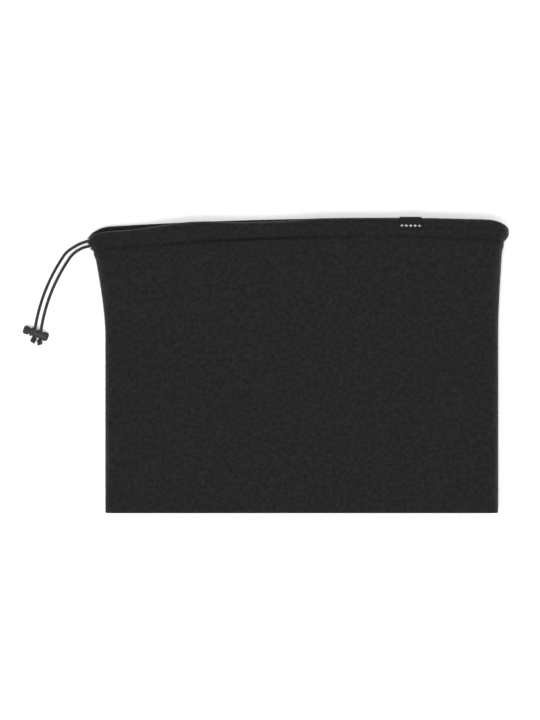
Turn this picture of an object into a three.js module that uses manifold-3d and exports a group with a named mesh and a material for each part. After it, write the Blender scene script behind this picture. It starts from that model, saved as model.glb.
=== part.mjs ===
// Fleece neck gaiter with a drawcord casing, an elastic drawcord and a two-hole cord lock, laid flat.
// Millimetres. +X to the right, +Y towards the casing, +Z up from the table.
// The origin is under the middle of the fabric, on the table.
import * as THREE from "three";
import { mergeVertices } from "three/addons/utils/BufferGeometryUtils.js";
import Module from "manifold-3d";

const wasm = await Module();
wasm.setup();

// ---- Driving dimensions -------------------------------------------------

// Tube of fleece
const tubeHeight = 200; // lower edge to the top of the casing
const bodyWidth = 267; // flat width below the flare
const bodyThickness = 12.4; // height of the tube as it lies
const fleeceThickness = 1.6;
const flareLength = 56; // stretch over which the sides run out towards the casing
const flareLeft = 7.6;
const flareRight = 3;
const flarePower = 1.6;

// Casing: the top edge turned in and stitched down, with the cord tunnel between its plies
const casingHeight = 12.7; // top edge to the stitch row
const casingOverhangLeft = 3.4; // how far the casing stands out past the flared side
const casingOverhangRight = 4.1;
const casingGap = 5.6; // room between the front and back halves of the casing
const hemAllowance = 6; // turned-in edge below the stitch row
const plyGap = 0.3; // between two plies that lie on each other
const stitchDip = 1.4; // how far the stitch row pulls the fleece in
const stitchDipReach = 3;
const topDropLeft = 6.5; // the top edge is bowed: its drop at each side
const topDropRight = 1.8;
const seamDropLeft = 10; // the same for the stitch row
const seamDropRight = 4;
const bowPeak = 60; // the bow's highest place, to the right of the middle
const bowFade = 90; // the bow dies out over this length of the body
const cornerDropLeft = 5.8; // rounding of the casing's two top corners
const cornerDropRight = 5;
const cornerReach = 14;

// Cord opening: the side seam left open within the casing, its lips drawn out by the cords
const earReach = 2.4;
const earSpread = 4.2;
const openingRoom = 0.1; // how much taller the opening is than the two cords where they reach it, along Y
const openingShift = 0.4; // how far its middle is above the middle of the two cords
const openingLandBack = 4.2; // what is left of the casing's thickness under the opening
const openingLandFront = 5.4; // and over it
const bartackWidth = 1.2;
const bartackThickness = 0.5;
const bartackSpan = 26; // half of the angle it takes up round the side fold, in degrees

// Side seam and sewing threads
const seamRidgeWidth = 6;
const threadDiameter = 0.5;

// Drawcord
const cordDiameter = 1.9;
const cordClearance = 0.35; // between the cord and the casing on each side
const cordSides = 8;
const cordDepthFront = 4.6; // the cord's place in the tunnel, measured down from the top edge
const cordOverRow = 3.5; // its place in the back half by the opening, measured up from the stitch row
const arcRadius = 118; // both free ends lie on arcs about one centre, so the lock can slide
const arcCentreX = 84.5; // from the cord opening
const arcCentreY = -75.8;
const legSpacing = 4.2;
const knotRadius = 2.1;
const knotSeat = 0.3; // how far a knot is drawn into the mouth of its hole
const meetingGap = 0.3; // between pieces that touch on the real object

// Cord lock
const lockAngle = 172.8; // its place on the arc, in degrees
const lockTilt = 12; // between the cords and the square to the barrel, in degrees
const barrelRadius = 3.05;
const boreRadius = 2.4;
const barrelOpenEdge = 2.7; // first hole to the open end
const barrelClosedEdge = 5.7; // second hole to the closed end
const barrelEndWall = 0.9;
const barrelEndRound = 1.8;
const barrelRim = 0.7; // width of the thicker rim at the mouth
const barrelWaist = 0.22; // how much slimmer the barrel is between its rim and its closed end
const holeClearance = 0.2;
const buttonRadius = 2.85;
const buttonLength = 3.9;
const buttonRound = 1.2;
const pressTravel = 1;
const pressReserve = 0.3; // what is left of the gap under the button when it is pressed
const bladeThickness = 2.2;
const bladeEndWall = 0.9;
const slotClearance = 0.2;
const neckClearance = 0.2; // between the button's neck and the bore
const neckReach = 0.1; // how far the neck stands in the bore when the button is out
const springWire = 0.35;
const springRadius = 1.55;
const springTurns = 2.5;

// Woven label folded over the top edge, and the care label
const labelWidth = 15;
const labelDrop = 7.6;
const labelThickness = 0.45;
const labelMiddle = 77; // from the middle of the tube
const labelStitchDiameter = 0.35;
const labelStitchInset = 1.1;
const careLabelWidth = 22;
const careLabelLength = 30;
const careLabelThickness = 0.4;
const careLabelHeight = 70; // its lower edge over the lower edge of the tube

// ---- Worked out from them -----------------------------------------------

const radians = THREE.MathUtils.degToRad;
const cordRadius = cordDiameter / 2;
const threadRadius = threadDiameter / 2;
const tunnelDepth = cordDiameter + 2 * cordClearance;
const casingWall = 2 * fleeceThickness + tunnelDepth;
const casingThickness = 2 * casingWall + casingGap;
const foldRadius = casingWall / 2;
const labelOver = meetingGap + labelThickness;
const cordDepthBack = casingHeight - cordOverRow;
const openingDepthDown = (cordDepthFront + cordDepthBack) / 2 - openingShift; // its middle, from the top edge
const openingHeight = cordDepthBack - cordDepthFront + cordDiameter + openingRoom;
const openingDepth = casingThickness - openingLandBack - openingLandFront;
const openingLevel = openingLandBack + openingDepth / 2; // height of its middle over the table

const leftReach = flareLeft + casingOverhangLeft + earReach;
const rightReach = flareRight + casingOverhangRight;
const bodyRight = (bodyWidth + leftReach + rightReach) / 2 - rightReach;
const bodyLeft = bodyRight - bodyWidth;
const topY = (tubeHeight + labelOver) / 2 - labelOver;
const casingLeft = bodyLeft - flareLeft - casingOverhangLeft;
const casingRight = bodyRight + rightReach;

// ---- The wall of the tube ------------------------------------------------

// A place on the wall is (round, down, depth): round runs 0 to 4 over the front, the right fold, the back and
// the left fold; down is measured from the top edge; depth is measured inwards from the outer face.

function smooth(from, to, value) {
  const t = THREE.MathUtils.clamp((value - from) / (to - from), 0, 1);
  return t * t * (3 - 2 * t);
}

// Left side, right side and half thickness of the flattened tube at a distance below the top edge.
function envelope(down) {
  const below = Math.max(down - casingHeight, 0);
  const flare = Math.max(1 - below / flareLength, 0) ** flarePower;
  const overhang = 1 - smooth(openingDepthDown, casingHeight + hemAllowance, down);
  const rise = 1 - smooth(0, flareLength, below);
  return {
    left: bodyLeft - flareLeft * flare - casingOverhangLeft * overhang,
    right: bodyRight + flareRight * flare + casingOverhangRight * overhang,
    half: THREE.MathUtils.lerp(bodyThickness, casingThickness, rise) / 2,
  };
}

// How far the bow of the casing and its rounded corners bring a place down.
function bowDrop(x, down) {
  const side = x < bowPeak ? (x - bowPeak) / (casingLeft - bowPeak) : (x - bowPeak) / (casingRight - bowPeak);
  const top = x < bowPeak ? topDropLeft : topDropRight;
  const seam = x < bowPeak ? seamDropLeft : seamDropRight;
  const inCasing = Math.min(down / casingHeight, 1);
  const fade = 1 - smooth(casingHeight + hemAllowance, casingHeight + hemAllowance + bowFade, down);
  const corner = x < bowPeak ? cornerDropLeft : cornerDropRight;
  const fromSide = x < bowPeak ? x - casingLeft : casingRight - x;
  const round = Math.max(1 - fromSide / cornerReach, 0) ** 2;
  return side * side * THREE.MathUtils.lerp(top, seam, inCasing) * fade + corner * round * (1 - inCasing);
}

// How far the cords draw the outer ply out at the cord opening.
function earBump(sideways, down, depth) {
  const outerPly = 1 - smooth(fleeceThickness, fleeceThickness + tunnelDepth, depth);
  const along = Math.exp(-(((down - openingDepthDown) / earSpread) ** 2));
  return earReach * outerPly * along * Math.max(sideways, 0);
}

function onWall(round, down, depth) {
  const { left, right, half } = envelope(down);
  const reach = half - depth;
  const part = Math.floor(round) % 4;
  const along = round - Math.floor(round);
  const leftCentre = left + half;
  const rightCentre = right - half;
  if (part === 0 || part === 2) {
    const share = part === 0 ? along : 1 - along;
    const x = THREE.MathUtils.lerp(leftCentre, rightCentre, share);
    const z = part === 0 ? half + reach : half - reach;
    return new THREE.Vector3(x, topY - down - bowDrop(x, down), z);
  }
  const angle = (part === 1 ? Math.PI / 2 : -Math.PI / 2) - along * Math.PI;
  const centre = part === 1 ? rightCentre : leftCentre;
  const x = centre + reach * Math.cos(angle);
  const bump = part === 3 ? earBump(-Math.cos(angle), down, depth) : 0;
  return new THREE.Vector3(x - bump, topY - down - bowDrop(x, down), half + reach * Math.sin(angle));
}

// A place off the outer face of the casing, as (down, depth): along runs up the face from where the top fold
// starts to curve and on over the fold, and out is the distance off the fleece.
function offFace(along, out) {
  const angle = Math.max(along, 0) / foldRadius;
  return [
    foldRadius - (foldRadius + out) * Math.sin(angle) - Math.min(along, 0),
    foldRadius - (foldRadius + out) * Math.cos(angle),
  ];
}

// The value of round at which the front face has this x.
function roundAt(x, down) {
  const { left, right, half } = envelope(down);
  return (x - left - half) / (right - left - 2 * half);
}

// ---- Mesh helpers ---------------------------------------------------------

function spread(from, to, count) {
  return Array.from({ length: count + 1 }, (_, i) => from + ((to - from) * i) / count);
}

// A closed solid through a row of rings with equal numbers of points. A closed row joins up with itself; an
// open one gets flat ends, cut into triangles by the ring's own outline.
function skin(rings, closed, outline) {
  const size = rings[0].length;
  const positions = rings.flat().flatMap((p) => [p.x, p.y, p.z]);
  const index = [];
  const joins = closed ? rings.length : rings.length - 1;
  for (let i = 0; i < joins; i++) {
    const next = ((i + 1) % rings.length) * size;
    for (let j = 0; j < size; j++) {
      const k = (j + 1) % size;
      index.push(i * size + j, next + j, next + k, i * size + j, next + k, i * size + k);
    }
  }
  if (!closed) {
    const last = (rings.length - 1) * size;
    const clockwise = THREE.ShapeUtils.isClockWise(outline);
    for (const [a, b, c] of THREE.ShapeUtils.triangulateShape(outline, [])) {
      const [d, e] = clockwise ? [c, b] : [b, c];
      index.push(a, d, e, last + a, last + e, last + d);
    }
  }
  const geometry = new THREE.BufferGeometry();
  geometry.setAttribute("position", new THREE.Float32BufferAttribute(positions, 3));
  geometry.setIndex(index);
  return facingOut(geometry);
}

function facingOut(geometry) {
  const at = geometry.getAttribute("position");
  const index = geometry.getIndex().array;
  const [a, b, c] = [new THREE.Vector3(), new THREE.Vector3(), new THREE.Vector3()];
  let volume = 0;
  for (let i = 0; i < index.length; i += 3) {
    a.fromBufferAttribute(at, index[i]);
    b.fromBufferAttribute(at, index[i + 1]);
    c.fromBufferAttribute(at, index[i + 2]);
    volume += a.dot(b.cross(c));
  }
  if (volume < 0) {
    for (let i = 0; i < index.length; i += 3) [index[i], index[i + 1]] = [index[i + 1], index[i]];
  }
  geometry.computeVertexNormals();
  return geometry;
}

function solid(geometry) {
  const bare = geometry.clone();
  bare.deleteAttribute("normal");
  bare.deleteAttribute("uv");
  const merged = mergeVertices(bare, 1e-4);
  return new wasm.Manifold(
    new wasm.Mesh({
      numProp: 3,
      vertProperties: merged.getAttribute("position").array,
      triVerts: new Uint32Array(merged.getIndex().array),
    }),
  );
}

function surface(manifold) {
  const mesh = manifold.getMesh();
  const geometry = new THREE.BufferGeometry();
  geometry.setAttribute("position", new THREE.BufferAttribute(mesh.vertProperties, 3));
  geometry.setIndex(new THREE.BufferAttribute(mesh.triVerts, 1));
  geometry.computeVertexNormals();
  return geometry;
}

function circle(radius, sides) {
  return spread(0, 2 * Math.PI, sides)
    .slice(0, -1)
    .map((a) => new THREE.Vector2(radius * Math.cos(a), radius * Math.sin(a)));
}

function tube(points, radius, sides, steps) {
  return new THREE.ExtrudeGeometry(new THREE.Shape(circle(radius, sides)), {
    steps,
    bevelEnabled: false,
    extrudePath: new THREE.CatmullRomCurve3(points, false, "centripetal"),
  });
}

function roundedRectangle(width, height, radius) {
  const [w, h] = [width / 2 - radius, height / 2 - radius];
  const shape = new THREE.Shape();
  shape.absarc(w, h, radius, 0, Math.PI / 2);
  shape.absarc(-w, h, radius, Math.PI / 2, Math.PI);
  shape.absarc(-w, -h, radius, Math.PI, 1.5 * Math.PI);
  shape.absarc(w, -h, radius, 1.5 * Math.PI, 2 * Math.PI);
  return shape;
}

// A solid of revolution about X, from a list of (x, radius).
function turned(profile, sides) {
  const points = profile.map(([x, r]) => new THREE.Vector2(r, x));
  const lathe = new THREE.LatheGeometry(points, sides).rotateZ(-Math.PI / 2);
  const made = solid(lathe);
  return made.volume() < 0 ? solid(turnedRound(lathe)) : made;
}

function turnedRound(geometry) {
  const index = geometry.getIndex().array;
  for (let i = 0; i < index.length; i += 3) [index[i], index[i + 1]] = [index[i + 1], index[i]];
  return geometry;
}

// Quarter of a circle in (x, radius), from the flat end's edge to the side.
function quarter(x, radius, round, from, to) {
  return spread(radians(from), radians(to), 4).map((a) => [
    x + round * Math.cos(a),
    radius - round + round * Math.sin(a),
  ]);
}

function named(name, geometry, finish) {
  const mesh = new THREE.Mesh(geometry, finish);
  mesh.name = name;
  return mesh;
}

// ---- Finishes ---------------------------------------------------------------

function finish(color, roughness) {
  return new THREE.MeshStandardMaterial({ color, roughness, metalness: 0 });
}

const fleece = finish(0x262627, 0.95);
const thread = finish(0x1b1b1c, 0.7);
const cord = finish(0x1d1d1f, 0.6);
const moulded = finish(0x3a3b3d, 0.45);
const steel = new THREE.MeshStandardMaterial({ color: 0x9a9b9e, roughness: 0.3, metalness: 1 });
const labelWeave = finish(0x2c2e38, 0.7);
const satin = finish(0xe9e8e4, 0.5);

// ---- Fabric -----------------------------------------------------------------

const bodyDowns = [tubeHeight, 160, 120, 95, 75, 58, 42, 30].filter((down) => down <= tubeHeight);
const straightSteps = 13;
const foldSteps = 8;
const rounds = [
  ...spread(0, 1, straightSteps).slice(0, -1),
  ...spread(1, 2, foldSteps).slice(0, -1),
  ...spread(2, 3, straightSteps).slice(0, -1),
  ...spread(3, 4, foldSteps).slice(0, -1),
];

// The panel's cut edge to edge as (down, depth): up the outside, over the top fold, down the turned-in ply to
// its edge, back up the tunnel and down the inside of the body.
function panelOutline() {
  const hemEdge = casingHeight + hemAllowance;
  const belly = casingHeight - stitchDipReach;
  const below = casingHeight + stitchDipReach;
  const pulled = stitchDip / 4;
  const inside = fleeceThickness + plyGap;
  const fold = (radius, from, to) =>
    spread(radians(from), radians(to), 4).map((a) => [
      foldRadius - radius * Math.sin(a),
      foldRadius - radius * Math.cos(a),
    ]);
  return [
    ...bodyDowns.map((d) => [d, 0]),
    [hemEdge, 0],
    [below, pulled],
    [casingHeight, stitchDip],
    [belly, 0],
    [casingHeight / 2, 0],
    ...fold(foldRadius, 0, 180),
    [casingHeight / 2, casingWall],
    [belly, casingWall],
    [casingHeight, stitchDip + 2 * fleeceThickness + plyGap],
    [below, pulled + 2 * fleeceThickness + plyGap],
    [hemEdge, 2 * fleeceThickness + plyGap],
    [hemEdge, inside],
    [below, pulled + inside],
    [casingHeight, stitchDip + inside],
    [belly, fleeceThickness + tunnelDepth],
    [casingHeight / 2, fleeceThickness + tunnelDepth],
    ...fold(tunnelDepth / 2, 180, 0),
    [casingHeight / 2, fleeceThickness],
    [belly, fleeceThickness],
    [casingHeight, stitchDip + fleeceThickness],
    [below, pulled + fleeceThickness],
    [hemEdge, fleeceThickness],
    ...bodyDowns.toReversed().map((d) => [d, fleeceThickness]),
  ];
}

function fleecePanel() {
  const outline = panelOutline();
  const rings = rounds.map((round) => outline.map(([down, depth]) => onWall(round, down, depth)));
  const opening = new THREE.ExtrudeGeometry(
    roundedRectangle(openingDepth, openingHeight, Math.min(openingDepth, openingHeight) / 3),
    { depth: earReach + casingWall, bevelEnabled: false, curveSegments: 4 },
  );
  const middle = onWall(3.5, openingDepthDown, 0);
  const cutEnd = casingLeft + fleeceThickness + tunnelDepth / 2;
  opening.rotateY(-Math.PI / 2).translate(cutEnd, middle.y, openingLevel);
  return surface(solid(skin(rings, true)).subtract(solid(opening)));
}

// Sweeps a thread of round section along the wall, all the way round.
function threadRound(down, depth) {
  const section = circle(threadRadius, 5);
  return skin(
    rounds.map((round) => section.map((p) => onWall(round, down + p.x, depth + p.y))),
    true,
  );
}

const seamTopDown = casingHeight + hemAllowance + 1;
const ridgeHalf = fleeceThickness + plyGap / 2;

// Runs a rectangle in (x, z) up the inside of the left fold, its ends set in from the seam's ends.
function alongLeftFold(inFrom, inTo, halfHeight, inset) {
  const downs = [tubeHeight - inset, ...bodyDowns.slice(1), seamTopDown + inset];
  const rings = downs.map((down) => {
    const { half } = envelope(down);
    const fold = onWall(3.5, down, fleeceThickness);
    const round = half - fleeceThickness;
    const clear = fold.x + round - Math.sqrt(round ** 2 - ridgeHalf ** 2);
    const [a, b] = [clear + inFrom, clear + inTo];
    return [
      new THREE.Vector3(a, fold.y, half - halfHeight),
      new THREE.Vector3(b, fold.y, half - halfHeight),
      new THREE.Vector3(b, fold.y, half + halfHeight),
      new THREE.Vector3(a, fold.y, half + halfHeight),
    ];
  });
  const outline = [[0, 0], [1, 0], [1, 1], [0, 1]].map(([x, y]) => new THREE.Vector2(x, y));
  return skin(rings, false, outline);
}

function sideSeam() {
  return alongLeftFold(meetingGap, meetingGap + seamRidgeWidth, ridgeHalf, 0.5);
}

function sideSeamThread() {
  const from = meetingGap + seamRidgeWidth + meetingGap;
  return alongLeftFold(from, from + threadDiameter, threadRadius, 1);
}

function careLabel() {
  const low = topY - tubeHeight + careLabelHeight;
  const { left, half } = envelope(topY - low);
  const start = left + fleeceThickness + meetingGap + 1;
  const underRidge = half - ridgeHalf - meetingGap;
  const onBack = fleeceThickness + meetingGap + careLabelThickness;
  const [bendStart, bendMiddle, bendEnd] = [3, 6, 9].map((x) => start + x);
  const shape = new THREE.Shape();
  shape.moveTo(start, underRidge);
  shape.lineTo(bendStart, underRidge);
  shape.quadraticCurveTo(bendMiddle, onBack, bendEnd, onBack);
  shape.lineTo(start + careLabelWidth, onBack);
  shape.lineTo(start + careLabelWidth, onBack - careLabelThickness);
  shape.lineTo(bendEnd, onBack - careLabelThickness);
  shape.quadraticCurveTo(
    bendMiddle,
    onBack - careLabelThickness,
    bendStart,
    underRidge - careLabelThickness,
  );
  shape.lineTo(start, underRidge - careLabelThickness);
  return new THREE.ExtrudeGeometry(shape, { depth: careLabelLength, bevelEnabled: false, curveSegments: 5 })
    .rotateX(Math.PI / 2)
    .translate(0, low + careLabelLength, 0);
}

// A short bar of zigzag thread across one end of the cord opening, curved round the left fold.
function bartack(along) {
  const outline = [
    offFace(along, meetingGap),
    offFace(along + bartackWidth, meetingGap),
    offFace(along + bartackWidth, meetingGap + bartackThickness),
    offFace(along, meetingGap + bartackThickness),
  ];
  const middle = 3.5;
  const reach = bartackSpan / 180;
  const rings = spread(middle - reach, middle + reach, 5).map((round) =>
    outline.map(([d, depth]) => onWall(round, d, depth)),
  );
  return skin(rings, false, outline.map(([x, y]) => new THREE.Vector2(x, y)));
}

// ---- Label --------------------------------------------------------------------

// The path over the top edge in (down, depth) at a distance out from the fleece.
function overTheTop(out, drop) {
  const arc = spread(0, Math.PI * foldRadius, 8).map((along) => offFace(along, out));
  return [[drop, -out], ...arc, [drop, casingWall + out]];
}

function foldedStrip(inner, outer, fromX, toX, drop, steps) {
  const outline = [...overTheTop(inner, drop), ...overTheTop(outer, drop).reverse()];
  const rings = spread(fromX, toX, steps).map((x) =>
    outline.map(([down, depth]) => onWall(roundAt(x, down), down, depth)),
  );
  return skin(rings, false, outline.map(([x, y]) => new THREE.Vector2(x, y)));
}

function wovenLabel() {
  const from = labelMiddle - labelWidth / 2;
  return foldedStrip(meetingGap, labelOver, from, from + labelWidth, labelDrop, 4);
}

function labelStitch(x) {
  const out = labelOver + meetingGap;
  const half = labelStitchDiameter / 2;
  const down = [foldRadius + 0.5, labelDrop - 0.8];
  const rings = spread(down[0], down[1], 3).map((d) =>
    [[-half, 0], [half, 0], [half, labelStitchDiameter], [-half, labelStitchDiameter]].map(([dx, up]) =>
      onWall(roundAt(x + dx, d), d, -out - up),
    ),
  );
  const outline = [[0, 0], [1, 0], [1, 1], [0, 1]].map(([a, b]) => new THREE.Vector2(a, b));
  return skin(rings, false, outline);
}

// ---- Drawcord -------------------------------------------------------------------

// The place of the cord in the tunnel: near the top fold, and lower where the back half nears the opening.
function cordDown(round) {
  return THREE.MathUtils.lerp(cordDepthFront, cordDepthBack, smooth(2.72, 3.02, round));
}

function drawcordInCasing() {
  const section = circle(cordRadius, cordSides);
  const depth = fleeceThickness + tunnelDepth / 2;
  const shy = (2 * meetingGap) / (casingRight - casingLeft - casingThickness);
  const places = [
    ...spread(shy, 1, 2 * straightSteps).slice(0, -1),
    ...spread(1, 2, foldSteps).slice(0, -1),
    ...spread(2, 3 - shy, 2 * straightSteps),
  ];
  const rings = places.map((round) => section.map((p) => onWall(round, cordDown(round) + p.x, depth + p.y)));
  return skin(rings, false, section);
}

const cordOpening = onWall(3.5, openingDepthDown, 0);
const arcCentre = new THREE.Vector2(cordOpening.x + arcCentreX, cordOpening.y + arcCentreY);
const lockLevel = barrelRadius + 0.1;

// A route on the table: (angle about the arc's centre in degrees, distance out from the arc, height).
function onArc([angle, out, height]) {
  const a = radians(angle);
  return new THREE.Vector3(
    arcCentre.x + (arcRadius + out) * Math.cos(a),
    arcCentre.y + (arcRadius + out) * Math.sin(a),
    height,
  );
}

// A route in the casing: (round, down, distance out from the middle of the tunnel).
function inTunnel([round, down, out]) {
  return onWall(round, down, fleeceThickness + tunnelDepth / 2 - out);
}

// The height at a share of the way up from the lock's level to the opening's.
function climb(share) {
  return THREE.MathUtils.lerp(lockLevel, openingLevel, share);
}

// Each leg starts in the tunnel at the left fold, passes the opening, and lies on its arc up to its knot.
const legOut = legSpacing / 2;
const outerStart = [
  [3.99, cordDepthFront, 0],
  [3.9, cordDepthFront + 0.1, 0],
  [3.8, cordDepthFront + 0.1, 0],
  [3.68, cordDepthFront + 0.2, 0.03],
  [3.57, cordDepthFront + 0.5, 0.25],
];
const outerRoute = [
  [136.6, -4.8, climb(1.08)],
  [137.4, -3.8, climb(0.9)],
  [138.4, -2.6, climb(0.71)],
  [139.7, -1.3, climb(0.53)],
  [141.3, 0, climb(0.36)],
  [143, 1.2, climb(0.18)],
  [144.6, legOut - 0.1, climb(0.05)],
  [146.4, legOut, lockLevel],
  [149, legOut, lockLevel],
  [152, legOut, lockLevel],
  [155, legOut, lockLevel],
  [158, legOut, lockLevel],
  [161, legOut, lockLevel],
  [164, legOut, lockLevel],
  [167, legOut, lockLevel],
  [170, legOut, lockLevel],
];
const innerStart = [
  [3.016, cordDepthBack, 0.06],
  [3.1, cordDepthBack, 0.08],
  [3.2, cordDepthBack, 0.08],
  [3.3, cordDepthBack, 0.24],
];
const innerRoute = [
  [137.4, -8.1, climb(0.63)],
  [138.1, -7.1, climb(0.69)],
  [138.9, -6, climb(0.65)],
  [139.9, -4.8, climb(0.53)],
  [141.2, -3.7, climb(0.38)],
  [142.8, -2.7, climb(0.22)],
  [144.6, -legOut, climb(0.05)],
  [146.4, -legOut, lockLevel],
  [149, -legOut, lockLevel],
  [152, -legOut, lockLevel],
  [155, -legOut, lockLevel],
  [158, -legOut, lockLevel],
  [161, -legOut, lockLevel],
  [164, -legOut, lockLevel],
  [167, -legOut, lockLevel],
  [170, -legOut, lockLevel],
];

// A place in the lock's own frame, whose X runs along the barrel from the button to the closed end.
function lockPlace(x, y) {
  const centre = onArc([lockAngle, 0, lockLevel]);
  const turn = radians(lockAngle - 180 - lockTilt);
  return new THREE.Vector3(
    centre.x + x * Math.cos(turn) - y * Math.sin(turn),
    centre.y + x * Math.sin(turn) + y * Math.cos(turn),
    lockLevel,
  );
}

const holeSpacing = legSpacing / Math.cos(radians(lockTilt));

// The middle of a knot; side is -1 for the outer leg and 1 for the inner one.
function knotPlace(side) {
  const apart = 2 * knotRadius + meetingGap;
  const behind = barrelRadius + meetingGap + knotRadius - knotSeat;
  return lockPlace(behind * Math.tan(radians(lockTilt)) + (side * apart) / 2, -behind);
}

function knot(side) {
  const place = knotPlace(side);
  const lump = new THREE.SphereGeometry(knotRadius, 12, 8);
  return lump.translate(place.x, place.y, place.z);
}

// Each leg passes the middle of its hole and stops at its knot.
function drawcordLeg(start, route, side) {
  const hole = lockPlace((side * holeSpacing) / 2, 0);
  const toKnot = knotPlace(side).sub(hole);
  const end = hole.clone().addScaledVector(toKnot, 1 - (knotRadius + meetingGap) / toKnot.length());
  return tube([...start.map(inTunnel), ...route.map(onArc), hole, end], cordRadius, cordSides, 34);
}

// ---- Cord lock -------------------------------------------------------------------

const holeRadius =
  cordRadius / Math.cos(radians(lockTilt)) + barrelRadius * Math.tan(radians(lockTilt)) + holeClearance;
const barrelOpenEnd = -holeSpacing / 2 - barrelOpenEdge;
const barrelClosedEnd = holeSpacing / 2 + barrelClosedEdge;
const slotReach =
  cordRadius / Math.cos(radians(lockTilt)) + (bladeThickness / 2) * Math.tan(radians(lockTilt)) + slotClearance;
const bladeWidth = 2 * Math.sqrt((boreRadius - slotClearance) ** 2 - (bladeThickness / 2) ** 2);
const bladeEnd = holeSpacing / 2 + slotReach + bladeEndWall;
const buttonUnderside = barrelOpenEnd - pressTravel - pressReserve;

function drill(x, radius, length) {
  const pin = new THREE.CylinderGeometry(radius, radius, length, 16);
  return solid(pin.translate(x, 0, 0));
}

function lockBarrel() {
  const waistRadius = barrelRadius - barrelWaist;
  const waistFrom = barrelOpenEnd + barrelRim;
  const waistTo = holeSpacing / 2 + holeRadius;
  const shell = turned(
    [
      [barrelOpenEnd, boreRadius],
      [barrelOpenEnd, barrelRadius],
      [waistFrom, barrelRadius],
      [waistFrom + barrelWaist, waistRadius],
      [waistTo, waistRadius],
      [waistTo + barrelWaist, barrelRadius],
      ...quarter(barrelClosedEnd - barrelEndRound, barrelRadius, barrelEndRound, 90, 0),
      [barrelClosedEnd, 0],
      [barrelClosedEnd - barrelEndWall, 0],
      [barrelClosedEnd - barrelEndWall, boreRadius],
      [barrelOpenEnd, boreRadius],
    ],
    28,
  );
  return surface(
    shell
      .subtract(drill(-holeSpacing / 2, holeRadius, 3 * barrelRadius))
      .subtract(drill(holeSpacing / 2, holeRadius, 3 * barrelRadius)),
  );
}

function lockPlunger() {
  const tip = buttonUnderside - buttonLength;
  const button = turned(
    [
      [tip, 0],
      ...quarter(-tip - buttonRound, buttonRadius, buttonRound, 0, 90).map(([x, r]) => [-x, r]),
      [buttonUnderside, buttonRadius],
      [buttonUnderside, boreRadius - neckClearance],
      [barrelOpenEnd + neckReach, boreRadius - neckClearance],
      [barrelOpenEnd + neckReach, 0],
    ],
    28,
  );
  const bladeStart = buttonUnderside - 1;
  const bladeLength = bladeEnd - bladeStart;
  const blade = new THREE.BoxGeometry(bladeLength, bladeThickness, bladeWidth);
  blade.translate(bladeStart + bladeLength / 2, 0, 0);
  let made = button.add(solid(blade));
  for (const x of [-holeSpacing / 2, holeSpacing / 2]) {
    const slotWidth = cordDiameter + 2 * slotClearance;
    const slot = new THREE.BoxGeometry(2 * slotReach + pressTravel, 2 * bladeThickness, slotWidth);
    made = made.subtract(solid(slot.translate(x - pressTravel / 2, 0, 0)));
  }
  return surface(made);
}

function lockSpring() {
  const from = bladeEnd + meetingGap + springWire / 2;
  const to = barrelClosedEnd - barrelEndWall - meetingGap - springWire / 2;
  const steps = Math.round(12 * springTurns);
  const coil = spread(0, 1, steps).map((t) => {
    const a = 2 * Math.PI * springTurns * t;
    return new THREE.Vector3(
      THREE.MathUtils.lerp(from, to, t),
      springRadius * Math.cos(a),
      springRadius * Math.sin(a),
    );
  });
  return tube(coil, springWire / 2, 6, steps);
}

function cordLock() {
  const group = new THREE.Group();
  group.position.copy(lockPlace(0, 0));
  group.rotation.z = radians(lockAngle - 180 - lockTilt);
  group.add(named("lock_barrel", lockBarrel(), moulded));
  group.add(named("lock_plunger", lockPlunger(), moulded));
  group.add(named("lock_spring", lockSpring(), steel));
  return group;
}

// ---- Assembly ----------------------------------------------------------------------

// Down the casing's left end, a distance measured along the face shortens by this much.
const endShare = (onWall(3.5, 0, 0).y - onWall(3.5, casingHeight, 0).y) / casingHeight;
const openingHalf = openingHeight / 2 / endShare;
const openingMiddle = foldRadius - openingDepthDown;
const dipSlant = Math.hypot(1, stitchDip / stitchDipReach);
const threadStand = (meetingGap + threadRadius) * dipSlant;
const needleDepth = stitchDip - threadStand;
const bobbinDepth = stitchDip + 2 * fleeceThickness + plyGap + threadStand;

const gaiter = new THREE.Group();
gaiter.add(
  named("fleece_panel", fleecePanel(), fleece),
  named("side_seam", sideSeam(), fleece),
  named("side_seam_thread", sideSeamThread(), thread),
  named("casing_needle_thread", threadRound(casingHeight, needleDepth), thread),
  named("casing_bobbin_thread", threadRound(casingHeight, bobbinDepth), thread),
  named("bartack_upper", bartack(openingMiddle + openingHalf + meetingGap), thread),
  named("bartack_lower", bartack(openingMiddle - openingHalf - meetingGap - bartackWidth), thread),
  named("care_label", careLabel(), satin),
  named("woven_label", wovenLabel(), labelWeave),
  named("label_stitch_left", labelStitch(labelMiddle - labelWidth / 2 + labelStitchInset), thread),
  named("label_stitch_right", labelStitch(labelMiddle + labelWidth / 2 - labelStitchInset), thread),
  named("drawcord_in_casing", drawcordInCasing(), cord),
  named("drawcord_leg_outer", drawcordLeg(outerStart, outerRoute, -1), cord),
  named("drawcord_leg_inner", drawcordLeg(innerStart, innerRoute, 1), cord),
  named("knot_outer", knot(-1), cord),
  named("knot_inner", knot(1), cord),
  cordLock(),
);

export default gaiter;
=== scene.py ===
"""A black fleece neck gaiter lying flat, with its drawcord, cord lock, knots and labels.

Lengths are metres in the part's own frame: +X along the casing, +Y towards it, +Z up from the floor.
"""

import logging
import math
from dataclasses import dataclass, field
from enum import Enum

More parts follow.
